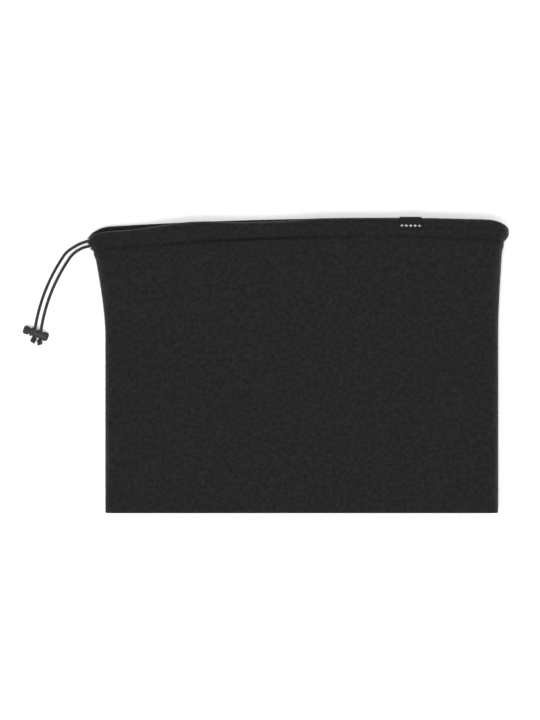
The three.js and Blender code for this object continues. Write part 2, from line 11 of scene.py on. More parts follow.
import bpy
import numpy as np
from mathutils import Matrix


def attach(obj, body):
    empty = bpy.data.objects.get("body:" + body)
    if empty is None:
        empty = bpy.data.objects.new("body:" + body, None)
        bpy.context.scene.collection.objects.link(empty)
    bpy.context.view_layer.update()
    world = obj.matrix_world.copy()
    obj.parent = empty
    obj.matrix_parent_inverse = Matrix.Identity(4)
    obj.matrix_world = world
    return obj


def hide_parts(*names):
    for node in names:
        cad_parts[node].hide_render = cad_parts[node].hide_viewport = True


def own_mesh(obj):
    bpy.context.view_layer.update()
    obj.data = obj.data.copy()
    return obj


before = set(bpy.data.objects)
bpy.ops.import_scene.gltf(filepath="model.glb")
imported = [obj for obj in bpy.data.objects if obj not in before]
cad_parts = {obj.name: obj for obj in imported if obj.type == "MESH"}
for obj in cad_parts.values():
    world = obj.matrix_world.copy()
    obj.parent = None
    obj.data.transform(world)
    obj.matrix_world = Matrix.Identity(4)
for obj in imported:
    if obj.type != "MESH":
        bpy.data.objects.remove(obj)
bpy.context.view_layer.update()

MM = 0.001
log = logging.getLogger("gaiter")


class Slot(Enum):
    """The record's material slots."""

    FLEECE = "black_fleece"
    THREAD = "black_thread"
    CORD = "elastic_cord"
    NYLON = "moulded_nylon"
    STEEL = "spring_steel"
    LABEL = "damask_label"
    RIBBON = "white_satin_ribbon"


class Body(Enum):
    """The bodies that pieces ride on."""

    GAITER = "gaiter"
    LOCK = "cord_lock"
    BUTTON = "lock_button"


# ---- Numbers and arrays ------------------------------------------------------------


def smooth(low: float, high: float, value: np.ndarray) -> np.ndarray:
    """Eases from 0 at low to 1 at high: 3 t squared less 2 t cubed.

    Args:
        low: where the step starts.
        high: where it ends.
        value: the places asked for.

    Returns:
        The eased share at each place.
    """
    t = np.clip((value - low) / (high - low), 0.0, 1.0)
    return t * t * (3.0 - 2.0 * t)


def mix(a: np.ndarray, b: np.ndarray, share: np.ndarray) -> np.ndarray:
    """A straight blend from a to b."""
    return a + (b - a) * share


def unit(vectors: np.ndarray) -> np.ndarray:
    """The vectors at length one, along the last axis."""
    return vectors / np.maximum(np.linalg.norm(vectors, axis=-1, keepdims=True), 1e-12)


def route(points: np.ndarray, step: float) -> np.ndarray:
    """A smooth line through points, as a centripetal Catmull-Rom curve, cut into even steps.

    Args:
        points: the chosen points, one row each.
        step: the spacing of the result.

    Returns:
        Evenly spaced points along the curve, ends included.
    """
    knots = np.concatenate([[0], np.cumsum(np.linalg.norm(np.diff(points, axis=0), axis=1) ** 0.5)])
    slopes = np.gradient(points, knots, axis=0)
    fine = np.linspace(0, knots[-1], 40 * len(points))
    i = np.clip(np.searchsorted(knots, fine, side="right") - 1, 0, len(knots) - 2)
    span = (knots[i + 1] - knots[i])[:, None]
    t = ((fine - knots[i]) / (knots[i + 1] - knots[i]))[:, None]
    curve = (
        (2 * t**3 - 3 * t**2 + 1) * points[i]
        + (t**3 - 2 * t**2 + t) * span * slopes[i]
        + (3 * t**2 - 2 * t**3) * points[i + 1]
        + (t**3 - t**2) * span * slopes[i + 1]
    )
    return even(curve, step)


def even(line: np.ndarray, step: float) -> np.ndarray:
    """The same line with its points a step apart, measured along it."""
    run = run_along(line)
    places = np.linspace(0, run[-1], max(int(round(run[-1] / step)), 2) + 1)
    return np.stack([np.interp(places, run, line[:, k]) for k in range(3)], axis=1)


def run_along(line: np.ndarray) -> np.ndarray:
    """The distance along a line of points, up to each point."""
    return np.concatenate([[0], np.cumsum(np.linalg.norm(np.diff(line, axis=0), axis=1))])


def length_of(line: np.ndarray) -> float:
    """The length along a line of points."""
    return float(run_along(line)[-1])


def carried_frames(line: np.ndarray) -> tuple[np.ndarray, np.ndarray]:
    """Two directions square to a line that turn with it and never twist about it.

    Each pair is the last one with its part along the new direction taken away.

    Args:
        line: points along the line.

    Returns:
        The two directions at each point.
    """
    along = unit(np.gradient(line, axis=0))
    first = np.cross(along[0], [0.0, 0.0, 1.0])
    if np.linalg.norm(first) < 0.1:
        first = np.cross(along[0], [0.0, 1.0, 0.0])
    sides = [first / np.linalg.norm(first)]
    for direction in along[1:]:
        side = sides[-1] - direction * np.dot(sides[-1], direction)
        sides.append(side / np.linalg.norm(side))
    side = np.array(sides)
    return side, np.cross(along, side)


# ---- Meshes ------------------------------------------------------------------------


@dataclass
class Patch:
    """Points and faces on their way to a mesh, with optional texture places and one tone a point.

    A face whose last corner repeats its first is a triangle. Loose faces have any number of corners.
    """

    points: np.ndarray
    faces: np.ndarray
    uv: np.ndarray | None = None
    shade: np.ndarray | None = None
    loose: list[tuple[int, ...]] = field(default_factory=list)


def grid(points: np.ndarray, wrap_rows: bool = False, wrap_columns: bool = False) -> Patch:
    """Four-sided faces over a grid of points.

    Args:
        points: rows by columns by 3.
        wrap_rows: joins the last row to the first.
        wrap_columns: joins the last column to the first.

    Returns:
        The patch, with texture places that run 0 to 1 along the rows and the columns.
    """
    rows, columns = points.shape[:2]
    i = np.arange(rows if wrap_rows else rows - 1)
    j = np.arange(columns if wrap_columns else columns - 1)
    i, j = (a.ravel() for a in np.meshgrid(i, j, indexing="ij"))
    below, beside = (i + 1) % rows, (j + 1) % columns
    corners = [i * columns + j, below * columns + j, below * columns + beside, i * columns + beside]
    faces = np.stack(corners, axis=1)
    u = np.stack([i, i + 1, i + 1, i], axis=1) / (rows if wrap_rows else rows - 1)
    v = np.stack([j, j, j + 1, j + 1], axis=1) / (columns if wrap_columns else columns - 1)
    return Patch(points.reshape(-1, 3), faces, np.stack([u, v], axis=-1).reshape(-1, 2))


def capped(patch: Patch, rows: int, columns: int) -> Patch:
    """Closes both ends of a tube of rings with one face each."""
    first = tuple(range(columns))
    last = tuple(range((rows - 1) * columns, rows * columns))
    patch.loose += [first, last[::-1]]
    return patch


def many(points: np.ndarray) -> Patch:
    """One patch of closed tubes, all with the same rings.

    Args:
        points: tubes by rings by sides by 3.

    Returns:
        The tubes, each closed at its ends by a fan to the middle of its end ring.
    """
    count, rings, sides = points.shape[:3]
    ends = points[:, [0, -1]].mean(axis=2)
    base = np.arange(count)[:, None, None] * (rings * sides + 2)
    i, j = np.meshgrid(np.arange(rings - 1), np.arange(sides), indexing="ij")
    k = (j + 1) % sides
    corners = [i * sides + j, (i + 1) * sides + j, (i + 1) * sides + k, i * sides + k]
    quads = np.stack(corners, axis=-1).reshape(-1, 4)
    j = np.arange(sides)
    k = (j + 1) % sides
    start, stop = np.full(sides, rings * sides), np.full(sides, rings * sides + 1)
    fans = np.concatenate([
        np.stack([start, j, k, start], axis=1),
        np.stack([stop, (rings - 1) * sides + k, (rings - 1) * sides + j, stop], axis=1),
    ])
    every = np.concatenate([quads, fans])[None] + base
    flat = np.concatenate([points.reshape(count, -1, 3), ends], axis=1).reshape(-1, 3)
    return Patch(flat, every.reshape(-1, 4))


def tube(line: np.ndarray, radius: np.ndarray, sides: int) -> np.ndarray:
    """Rings of a tube: the line plus radius times (cos a, sin a) in its carried directions.

    Args:
        line: points along the middle.
        radius: one number, or rings by sides.
        sides: points round each ring.

    Returns:
        Rings by sides by 3.
    """
    across, over = carried_frames(line)
    angle = np.linspace(0, 2 * np.pi, sides, endpoint=False)
    ring = np.cos(angle)[None, :, None] * across[:, None] + np.sin(angle)[None, :, None] * over[:, None]
    wide = np.broadcast_to(np.asarray(radius, float), (len(line), sides))
    return line[:, None] + wide[..., None] * ring


def rod(line: np.ndarray, radius: float | np.ndarray, sides: int) -> Patch:
    """A closed round rod along a line, with one radius or one for each point."""
    return capped(grid(tube(line, radius, sides), wrap_columns=True), len(line), sides)


def rounded_ends(line: np.ndarray, radius: float) -> np.ndarray:
    """Radii along a line that close to a round end at each end, as a quarter circle does."""
    run = run_along(line)
    near = np.minimum(run, run[-1] - run) / radius
    return radius * np.sqrt(np.maximum(1 - np.clip(1 - near, 0, 1) ** 2, 0.02))[:, None]


def piece(name: str, patch: Patch, body: Body, finish: "Finish") -> bpy.types.Object:
    """Puts a patch into a mesh object that faces outwards, is smooth, and rides on its body.

    Args:
        name: the piece's name.
        patch: its points and faces.
        body: what it rides on.
        finish: the material it wears.

    Returns:
        The new object.
    """
    quads = patch.faces
    flat = quads[:, 3] == quads[:, 0] if len(quads) else np.zeros(0, bool)
    faces = [tuple(face) for face in quads[~flat].tolist()]
    faces += [tuple(face[:3]) for face in quads[flat].tolist()] + patch.loose
    mesh = bpy.data.meshes.new(name)
    mesh.from_pydata(patch.points.tolist(), [], faces)
    if patch.uv is not None and not flat.any():
        layer = mesh.uv_layers.new(name="surface")
        places = np.zeros((len(mesh.loops), 2), np.float32)
        places[: len(patch.uv)] = patch.uv
        layer.data.foreach_set("uv", places.ravel())
    if patch.shade is not None:
        tone = mesh.attributes.new("tone", "FLOAT", "POINT")
        tone.data.foreach_set("value", patch.shade.astype(np.float32))
    mesh.validate()
    if volume(mesh) < 0:
        mesh.flip_normals()
    mesh.shade_smooth()
    return placed(bpy.data.objects.new(name, mesh), body, finish)


def placed(made: bpy.types.Object, body: Body, finish: "Finish") -> bpy.types.Object:
    """Links an object, dresses it and lets it ride on a body."""
    bpy.context.scene.collection.objects.link(made)
    made.data.materials.clear()
    made.data.materials.append(finish.material())
    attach(made, body.value)
    log.info("%s: %d faces, rides on %s", made.name, len(made.data.polygons), body.value)
    return made


def volume(mesh: bpy.types.Mesh) -> float:
    """Six times the volume inside a mesh, positive where its faces point outwards."""
    mesh.calc_loop_triangles()
    at = np.zeros(len(mesh.vertices) * 3, np.float32)
    mesh.vertices.foreach_get("co", at)
    corners = np.zeros(len(mesh.loop_triangles) * 3, np.int32)
    mesh.loop_triangles.foreach_get("vertices", corners)
    a, b, c = at.reshape(-1, 3)[corners.reshape(-1, 3)].transpose(1, 0, 2)
    return float(np.einsum("ij,ij->i", a, np.cross(b, c)).sum())


# ---- Finishes ----------------------------------------------------------------------


def linear(code: str) -> tuple[float, float, float, float]:
    """A colour given as sRGB hex, such as "2a2b2c", as linear light with full cover."""
    parts = np.array([int(code[i : i + 2], 16) for i in (0, 2, 4)]) / 255
    red, green, blue = np.where(parts <= 0.04045, parts / 12.92, ((parts + 0.055) / 1.055) ** 2.4)
    return float(red), float(green), float(blue), 1.0


def per(size: float) -> float:
    """The texture scale whose pattern repeats every size metres."""
    return 1.0 / size


def add_node(
    tree: bpy.types.NodeTree, kind: str, inputs: dict | None = None, **settings: object
) -> bpy.types.Node:
    """Adds a node with its settings, its socket values and its links.

    Args:
        tree: the material's node tree.
        kind: the node's type.
        inputs: socket name or number to a value, or to another node's output that is linked to it.
        **settings: the node's own properties.

    Returns:
        The new node.
    """
    node = tree.nodes.new(kind)
    for name, value in settings.items():
        setattr(node, name, value)
    for name, value in (inputs or {}).items():
        if isinstance(value, bpy.types.NodeSocket):
            tree.links.new(value, node.inputs[name])
        else:
            node.inputs[name].default_value = value
    return node


def blended(
    tree: bpy.types.NodeTree, share: bpy.types.NodeSocket, low: str, high: str
) -> bpy.types.NodeSocket:
    """A colour between two sRGB hex colours, by a share from 0 to 1."""
    node = add_node(tree, "ShaderNodeMix", {0: share, 6: linear(low), 7: linear(high)}, data_type="RGBA")
    return node.outputs[2]


def stretched(
    tree: bpy.types.NodeTree, value: bpy.types.NodeSocket, low: float, high: float
) -> bpy.types.NodeSocket:
    """The value spread from low..high over 0..1, and held there."""
    node = add_node(tree, "ShaderNodeMapRange", {"Value": value, "From Min": low, "From Max": high})
    return node.outputs[0]


def noise(tree: bpy.types.NodeTree, size: float, detail: float = 2.0) -> bpy.types.NodeSocket:
    """Noise on Object coordinates, whose largest lumps are size metres apart."""
    at = add_node(tree, "ShaderNodeTexCoord").outputs["Object"]
    inputs = {"Vector": at, "Scale": per(size), "Detail": detail}
    return add_node(tree, "ShaderNodeTexNoise", inputs).outputs[0]


def relief(
    tree: bpy.types.NodeTree,
    height: bpy.types.NodeSocket,
    strength: float,
    depth: float,
    under: bpy.types.NodeSocket | None = None,
) -> bpy.types.NodeSocket:
    """The normal of a relief depth metres high, on top of another relief where one is given."""
    inputs = {"Height": height, "Strength": strength, "Distance": depth}
    if under:
        inputs["Normal"] = under
    return add_node(tree, "ShaderNodeBump", inputs).outputs[0]


def gloss(
    tree: bpy.types.NodeTree, share: bpy.types.NodeSocket, low: float, high: float
) -> bpy.types.NodeSocket:
    """A roughness between two values, by a share from 0 to 1."""
    node = add_node(tree, "ShaderNodeMapRange", {"Value": share, "To Min": low, "To Max": high})
    return node.outputs[0]


@dataclass(frozen=True)
class Finish:
    """A finish with one material, made the first time it is asked for."""

    name: str

    def material(self) -> bpy.types.Material:
        """The finish's material."""
        found = bpy.data.materials.get(self.name)
        if found:
            return found
        made = bpy.data.materials.new(self.name)
        made.use_nodes = True
        tree = made.node_tree
        tree.nodes.clear()
        shader = add_node(tree, "ShaderNodeBsdfPrincipled")
        add_node(tree, "ShaderNodeOutputMaterial", {"Surface": shader.outputs[0]})
        self.dress(tree, shader)
        return made

    def dress(self, tree: bpy.types.NodeTree, shader: bpy.types.Node) -> None:
        """Sets the shader's sockets and adds the finish's own nodes."""
        raise NotImplementedError


@dataclass(frozen=True)
class BrushedFleece(Finish):
    """Polyester polar fleece, piece-dyed black and brushed.

    The eye sees no gloss, small soft tufts about a millimetre across, and a pale bloom where the pile is seen
    edge on, round every fold.
    """

    # Painted shade and light: the tufts' colour follows their relief, darker in the hollows and paler at the
    # tips.
    hollow_shade: str = "111111"
    tip: str = "1b1b1b"
    # Painted shade: the colour the fleece takes in the stitch row's valley.
    valley_shade: str = "060606"
    sheen: float = 0.24
    tuft: float = 2.4 * MM
    fibre: float = 0.45 * MM

    def dress(self, tree: bpy.types.NodeTree, shader: bpy.types.Node) -> None:
        """Tufts and fibres in relief and colour, painted shade along the stitch row's valley, and the pile's
        sheen.
        """
        tufts = noise(tree, self.tuft, 4.0)
        # The tuft relief also sets the colour: painted shade in the hollows, paler at the tips.
        tone = stretched(tree, tufts, 0.34, 0.68)
        pile = blended(tree, tone, self.hollow_shade, self.tip)
        # Painted shade: the point tone blends the fleece towards the valley_shade colour along the stitch
        # row's valley.
        flat = add_node(tree, "ShaderNodeAttribute", attribute_name="tone").outputs["Fac"]
        inputs = {0: flat, 6: pile, 7: linear(self.valley_shade)}
        colour = add_node(tree, "ShaderNodeMix", inputs, data_type="RGBA")
        tree.links.new(colour.outputs[2], shader.inputs["Base Color"])
        coarse = relief(tree, tufts, 0.7, 0.8 * MM)
        fine = relief(tree, noise(tree, self.fibre), 0.5, 0.2 * MM, coarse)
        tree.links.new(fine, shader.inputs["Normal"])
        shader.inputs["Roughness"].default_value = 1.0
        shader.inputs["Specular IOR Level"].default_value = 0.05
        shader.inputs["Sheen Weight"].default_value = self.sheen
        shader.inputs["Sheen Roughness"].default_value = 0.5
        shader.inputs["Sheen Tint"].default_value = linear("c8c8c8")


@dataclass(frozen=True)
class PileFibre(Finish):
    """Single fibres of the brushed pile, a little paler than the mass because light comes through them."""

    colour: str = "222223"
    dark: str = "121213"
    change: float = 2 * MM

    def dress(self, tree: bpy.types.NodeTree, shader: bpy.types.Node) -> None:
        """A soft colour that varies from fibre to fibre, quite matt."""
        colour = blended(tree, stretched(tree, noise(tree, self.change), 0.3, 0.7), self.dark, self.colour)
        tree.links.new(colour, shader.inputs["Base Color"])
        shader.inputs["Roughness"].default_value = 0.95
        shader.inputs["Specular IOR Level"].default_value = 0.1


@dataclass(frozen=True)
class SpunThread(Finish):
    """Spun polyester sewing thread: matt black with a fine twist that catches a little light."""

    colour: str = "060606"
    light: str = "101011"
    twist: float = 0.5 * MM

    def dress(self, tree: bpy.types.NodeTree, shader: bpy.types.Node) -> None:
        """A fine uneven relief and tone from the twist."""
        twist = noise(tree, self.twist)
        colour = blended(tree, stretched(tree, twist, 0.3, 0.7), self.colour, self.light)
        tree.links.new(colour, shader.inputs["Base Color"])
        tree.links.new(relief(tree, twist, 0.5, 0.1 * MM), shader.inputs["Normal"])
        shader.inputs["Roughness"].default_value = 0.8
        shader.inputs["Specular IOR Level"].default_value = 0.2


@dataclass(frozen=True)
class BraidedCord(Finish):
    """Polyester braid over a rubber core: black strands, and grey ones that show as slanting flecks."""

    black: str = "070707"
    grey: str = "5a5b5f"
    filament: float = 0.12 * MM

    def dress(self, tree: bpy.types.NodeTree, shader: bpy.types.Node) -> None:
        """Each point's tone picks black or grey, and the filaments add fine relief."""
        strand = add_node(tree, "ShaderNodeAttribute", attribute_name="tone").outputs["Fac"]
        colour = blended(tree, stretched(tree, strand, 0.25, 0.8), self.black, self.grey)
        tree.links.new(colour, shader.inputs["Base Color"])
        filaments = noise(tree, self.filament, 1.0)
        tree.links.new(relief(tree, filaments, 0.4, 0.05 * MM), shader.inputs["Normal"])
        shader.inputs["Roughness"].default_value = 0.7
        shader.inputs["Specular IOR Level"].default_value = 0.12


@dataclass(frozen=True)
class RubberCore(Finish):
    """Undyed latex core, off-white and dull, which shows where a cord is cut."""

    colour: str = "d9d4c6"
    dark: str = "b5b0a2"
    grain: float = 0.2 * MM

    def dress(self, tree: bpy.types.NodeTree, shader: bpy.types.Node) -> None:
        """A faint grain from the knife."""
        colour = blended(tree, stretched(tree, noise(tree, self.grain), 0.3, 0.7), self.dark, self.colour)
        tree.links.new(colour, shader.inputs["Base Color"])
        shader.inputs["Roughness"].default_value = 0.7


@dataclass(frozen=True)
class MouldedNylon(Finish):
    """Injection-moulded nylon from a spark-eroded mould: dark grey, satin, with a fine even grain."""

    colour: str = "1a1b1d"
    worn: str = "252628"
    grain: float = 0.16 * MM
    flow: float = 4 * MM

    def dress(self, tree: bpy.types.NodeTree, shader: bpy.types.Node) -> None:
        """Grain in relief and in gloss, and a slow tone change from the flow of the melt."""
        grain = noise(tree, self.grain)
        flow = stretched(tree, noise(tree, self.flow, 1.0), 0.35, 0.75)
        tree.links.new(blended(tree, flow, self.colour, self.worn), shader.inputs["Base Color"])
        tree.links.new(gloss(tree, grain, 0.42, 0.62), shader.inputs["Roughness"])
        tree.links.new(relief(tree, grain, 0.35, 0.04 * MM), shader.inputs["Normal"])
        shader.inputs["IOR"].default_value = 1.53
        shader.inputs["Specular IOR Level"].default_value = 0.22


@dataclass(frozen=True)
class SpringWire(Finish):
    """Hard-drawn spring steel wire with the fine lengthwise lines of the die."""

    colour: str = "b9bbbe"
    line: float = 0.1 * MM

    def dress(self, tree: bpy.types.NodeTree, shader: bpy.types.Node) -> None:
        """A bright metal with drawn streaks in its gloss."""
        tree.links.new(gloss(tree, noise(tree, self.line), 0.2, 0.4), shader.inputs["Roughness"])
        shader.inputs["Base Color"].default_value = linear(self.colour)
        shader.inputs["Metallic"].default_value = 1.0


@dataclass(frozen=True)
class WovenDamask(Finish):
    """Damask woven polyester: a black satin ground with a plain row of pale diamonds.

    The real thread spacing of about 0.15 mm would not show, so the weave is drawn at 0.3 mm.
    """

    ground: str = "0b0b0d"
    pale: str = "b9bac0"
    width: float = 15 * MM
    run: float = 22 * MM
    thread: float = 0.3 * MM
    diamonds: int = 5
    row: float = 0.16

    def dress(self, tree: bpy.types.NodeTree, shader: bpy.types.Node) -> None:
        """Diamonds from the sum of two folded coordinates, and the weave as two crossed waves."""
        uv = add_node(tree, "ShaderNodeUVMap", uv_map="surface").outputs[0]
        split = add_node(tree, "ShaderNodeSeparateXYZ", {0: uv})
        across, along = split.outputs[0], split.outputs[1]

        def maths(operation: str, a: object, b: object = 0.0) -> bpy.types.NodeSocket:
            """One Math node's result."""
            return add_node(tree, "ShaderNodeMath", {0: a, 1: b}, operation=operation).outputs[0]

        repeated = maths("FRACT", maths("MULTIPLY", across, self.diamonds))
        folded = maths("ABSOLUTE", maths("SUBTRACT", repeated, 0.5))
        row = maths("ABSOLUTE", maths("MULTIPLY", maths("SUBTRACT", along, self.row), 6.5))
        diamond = maths("LESS_THAN", maths("ADD", folded, row), 0.36)
        heart = maths("LESS_THAN", maths("ADD", folded, row), 0.14)
        drawn = maths("SUBTRACT", diamond, heart)
        weft = maths("SINE", maths("MULTIPLY", across, 2 * math.pi * self.width / self.thread))
        warp = maths("SINE", maths("MULTIPLY", along, 2 * math.pi * self.run / self.thread))
        weave = maths("MULTIPLY", weft, warp)
        thinned = maths("MULTIPLY", drawn, stretched(tree, weave, -1.6, 0.2))
        tree.links.new(blended(tree, thinned, self.ground, self.pale), shader.inputs["Base Color"])
        tree.links.new(relief(tree, weave, 0.5, 0.05 * MM), shader.inputs["Normal"])
        shader.inputs["Roughness"].default_value = 0.7
        shader.inputs["Specular IOR Level"].default_value = 0.15


@dataclass(frozen=True)
class SatinRibbon(Finish):
    """White polyester satin ribbon, blank: smooth, with a soft gloss along its threads."""

    colour: str = "e6e4de"
    dark: str = "d6d3ca"
    thread: float = 0.3 * MM

    def dress(self, tree: bpy.types.NodeTree, shader: bpy.types.Node) -> None:
        """Fine lengthwise threads in tone and relief."""
        at = add_node(tree, "ShaderNodeTexCoord").outputs["Object"]
        threads = add_node(
            tree, "ShaderNodeTexWave", {"Vector": at, "Scale": per(self.thread) / 20, "Distortion": 0.4},
            bands_direction="X",
        )
        shade = threads.outputs["Fac"]
        tree.links.new(blended(tree, shade, self.dark, self.colour), shader.inputs["Base Color"])
        tree.links.new(relief(tree, shade, 0.3, 0.05 * MM), shader.inputs["Normal"])
        shader.inputs["Roughness"].default_value = 0.42


@dataclass(frozen=True)
class PaleFloor(Finish):
    """A plain matt white studio floor."""

    colour: str = "f7f7f7"

    def dress(self, tree: bpy.types.NodeTree, shader: bpy.types.Node) -> None:
        """Matt white all over."""
        shader.inputs["Base Color"].default_value = linear(self.colour)
        shader.inputs["Roughness"].default_value = 0.9
        shader.inputs["Specular IOR Level"].default_value = 0.1


FLEECE = BrushedFleece("brushed_polyester_fleece")
PILE = PileFibre("fleece_pile_fibre")
THREAD = SpunThread("spun_polyester_thread")
CORD = BraidedCord("braided_elastic_cord")
CORE = RubberCore("latex_core")
NYLON = MouldedNylon("satin_moulded_nylon")
STEEL = SpringWire("drawn_spring_steel")
DAMASK = WovenDamask("woven_damask_label")
RIBBON = SatinRibbon("satin_ribbon")
FLOOR = PaleFloor("studio_floor")


# ---- The wall of the tube ----------------------------------------------------------


@dataclass(frozen=True)
class Crease:
    """A soft fold in the front half: a valley along a line with a lower ridge beside it."""

    points: tuple[tuple[float, float], ...]
    depth: float
    width: float

    def lift(self, x: np.ndarray, y: np.ndarray) -> np.ndarray:
        """How far the crease lifts the fleece.

        A bell curve of the distance to the line, taken down, plus a wider one beside it, taken up.

        Args:
            x: places along the casing.
            y: places towards the casing.

        Returns:
            The lift at each place, negative in the valley.
        """
        nearest = np.full(np.broadcast(x, y).shape, np.inf)
        side = np.zeros_like(nearest)
        for (ax, ay), (bx, by) in zip(self.points[:-1], self.points[1:]):
            run = math.hypot(bx - ax, by - ay)
            t = np.clip(((x - ax) * (bx - ax) + (y - ay) * (by - ay)) / run**2, 0, 1)
            gap = np.hypot(x - ax - t * (bx - ax), y - ay - t * (by - ay))
            turn = ((bx - ax) * (y - ay) - (by - ay) * (x - ax)) / run
            side = np.where(gap < nearest, turn, side)
            nearest = np.minimum(nearest, gap)
        beside = np.hypot(np.maximum(nearest - np.abs(side), 0), side + 1.7 * self.width)
        raised = 0.55 * np.exp(-((beside / (1.3 * self.width)) ** 2))
        return self.depth * (raised - np.exp(-((nearest / self.width) ** 2)))


@dataclass(frozen=True)
class Wall:
    """The gaiter's wall. A place on it is (round, down, depth).

    Round runs 0 to 4 over the front, the right fold, the back and the left fold. Down is measured from
    the top edge. Depth is measured inwards from the outer face.
    """

    tube_height: float = 200 * MM
    body_left: float = -130.35 * MM
    body_right: float = 136.65 * MM
    body_thickness: float = 12.4 * MM
    top: float = 99.62 * MM
    fleece: float = 1.6 * MM
    flare_length: float = 64 * MM
    flare_left: float = 7.6 * MM
    flare_right: float = 3 * MM
    flare_power: float = 1.6
    casing_height: float = 12.7 * MM
    overhang_left: float = 3.4 * MM
    overhang_right: float = 4.1 * MM
    casing_thickness: float = 17.2 * MM
    tunnel: float = 2.6 * MM
    hem: float = 6 * MM
    ply_gap: float = 0.3 * MM
    dip: float = 1.2 * MM
    dip_width: float = 2.1 * MM
    dip_reach: float = 3 * MM
    top_drop: tuple[float, float] = (6.5 * MM, 1.8 * MM)
    seam_drop: tuple[float, float] = (10 * MM, 4 * MM)
    bow_peak: float = 60 * MM
    bow_fade: float = 90 * MM
    corner_drop: tuple[float, float] = (5.8 * MM, 5 * MM)
    corner_reach: float = 14 * MM
    ear_reach: float = 2.4 * MM
    ear_spread: float = 3.6 * MM
    opening_down: float = 6.5 * MM
    creases: tuple[Crease, ...] = (
        Crease(((-0.0815, 0.0229), (-0.1074, -0.0029), (-0.1176, -0.0349)), 1.3 * MM, 7 * MM),
        Crease(((-0.1074, -0.0566), (-0.1217, -0.0906)), 1.1 * MM, 7 * MM),
        Crease(((-0.02, 0.058), (-0.062, 0.034)), 0.5 * MM, 10 * MM),
        Crease(((0.112, 0.052), (0.118, -0.012)), 0.45 * MM, 9 * MM),
    )
    seed: int = 5

    @property
    def casing_wall(self) -> float:
        """Outer ply, tunnel and inner ply together."""
        return 2 * self.fleece + self.tunnel

    @property
    def fold_radius(self) -> float:
        """The outer radius of the fold along the top edge."""
        return self.casing_wall / 2

    @property
    def casing_left(self) -> float:
        """The casing's left end without the drawn-out lips."""
        return self.body_left - self.flare_left - self.overhang_left

    @property
    def casing_right(self) -> float:
        """The casing's right end."""
        return self.body_right + self.flare_right + self.overhang_right

    def envelope(self, down: np.ndarray) -> tuple[np.ndarray, np.ndarray, np.ndarray]:
        """The flattened tube's left side, right side and half thickness at a distance below the top edge."""
        below = np.maximum(down - self.casing_height, 0)
        flare = np.maximum(1 - below / self.flare_length, 0) ** self.flare_power
        reach = self.casing_height + self.hem - self.opening_down
        overhang = 1 - np.clip((down - self.opening_down) / reach, 0, 1)
        rise = 1 - smooth(0, self.flare_length, below)
        left = self.body_left - self.flare_left * flare - self.overhang_left * overhang
        right = self.body_right + self.flare_right * flare + self.overhang_right * overhang
        return left, right, mix(self.body_thickness, self.casing_thickness, rise) / 2

    def bow_drop(self, x: np.ndarray, down: np.ndarray) -> np.ndarray:
        """How far the casing's bow and its two rounded corners bring a place down."""
        at_left = x < self.bow_peak
        end = np.where(at_left, self.casing_left, self.casing_right)
        side = (x - self.bow_peak) / (end - self.bow_peak)
        in_casing = np.clip(down / self.casing_height, 0, 1)
        top = np.where(at_left, *self.top_drop)
        seam = np.where(at_left, *self.seam_drop)
        start = self.casing_height + self.hem
        fade = 1 - smooth(start, start + self.bow_fade, down)
        corner = np.where(at_left, *self.corner_drop)
        near = np.maximum(1 - np.abs(x - end) / self.corner_reach, 0) ** 2
        return side**2 * mix(top, seam, in_casing) * fade + corner * near * (1 - in_casing)

    def valley(self, x: np.ndarray, down: np.ndarray) -> np.ndarray:
        """How far the stitch row pulls the outer face in: a bell curve of the distance to the row."""
        deeper = 1 * MM * np.exp(-(((x + 30 * MM) / (40 * MM)) ** 2))
        return (self.dip + deeper) * np.exp(-(((down - self.casing_height) / self.dip_width) ** 2))

    def front_lift(self, x: np.ndarray, y: np.ndarray, down: np.ndarray) -> np.ndarray:
        """The lie of the front half: creases, slow waves, and puckers that fade away from the stitch row."""
        lift = sum(crease.lift(x, y) for crease in self.creases)
        draws = np.random.default_rng(self.seed)
        inside = smooth(0, 24 * MM, down - self.casing_height)
        inside = inside * smooth(-6 * MM, 30 * MM, self.tube_height - down)
        for _ in range(7):
            turn = draws.uniform(0, np.pi)
            wave = draws.uniform(52, 120) * MM
            phase = draws.uniform(0, 2 * np.pi)
            lift = lift + 0.28 * MM * inside * np.sin(
                2 * np.pi * (x * np.cos(turn) + y * np.sin(turn)) / wave + phase
            )
        near = np.exp(-(((down - self.casing_height) / (7 * MM)) ** 2))
        for wave, size in ((9.3 * MM, 0.12 * MM), (13.7 * MM, 0.2 * MM), (23 * MM, 0.26 * MM)):
            lift = lift + size * near * np.sin(2 * np.pi * x / wave + 900 * wave)
        return lift - 0.5 * MM

    def back_lift(self, x: np.ndarray, y: np.ndarray) -> np.ndarray:
        """The lie of the back half, which only ever rises from the floor."""
        wave = np.sin(2 * np.pi * x / (83 * MM) + 1.1) * np.sin(2 * np.pi * y / (71 * MM))
        return 0.35 * MM * (1 + wave)

    def front_drop(self, x: np.ndarray) -> np.ndarray:
        """How far the front's top edge hangs below the back's: deep near the cords, shallow further in."""
        outer = smooth(-145 * MM, -130 * MM, x) * (1 - smooth(-118 * MM, -70 * MM, x))
        inner = np.exp(-(((x + 24 * MM) / (29 * MM)) ** 4))
        return 3.4 * MM * outer + 1.6 * MM * inner

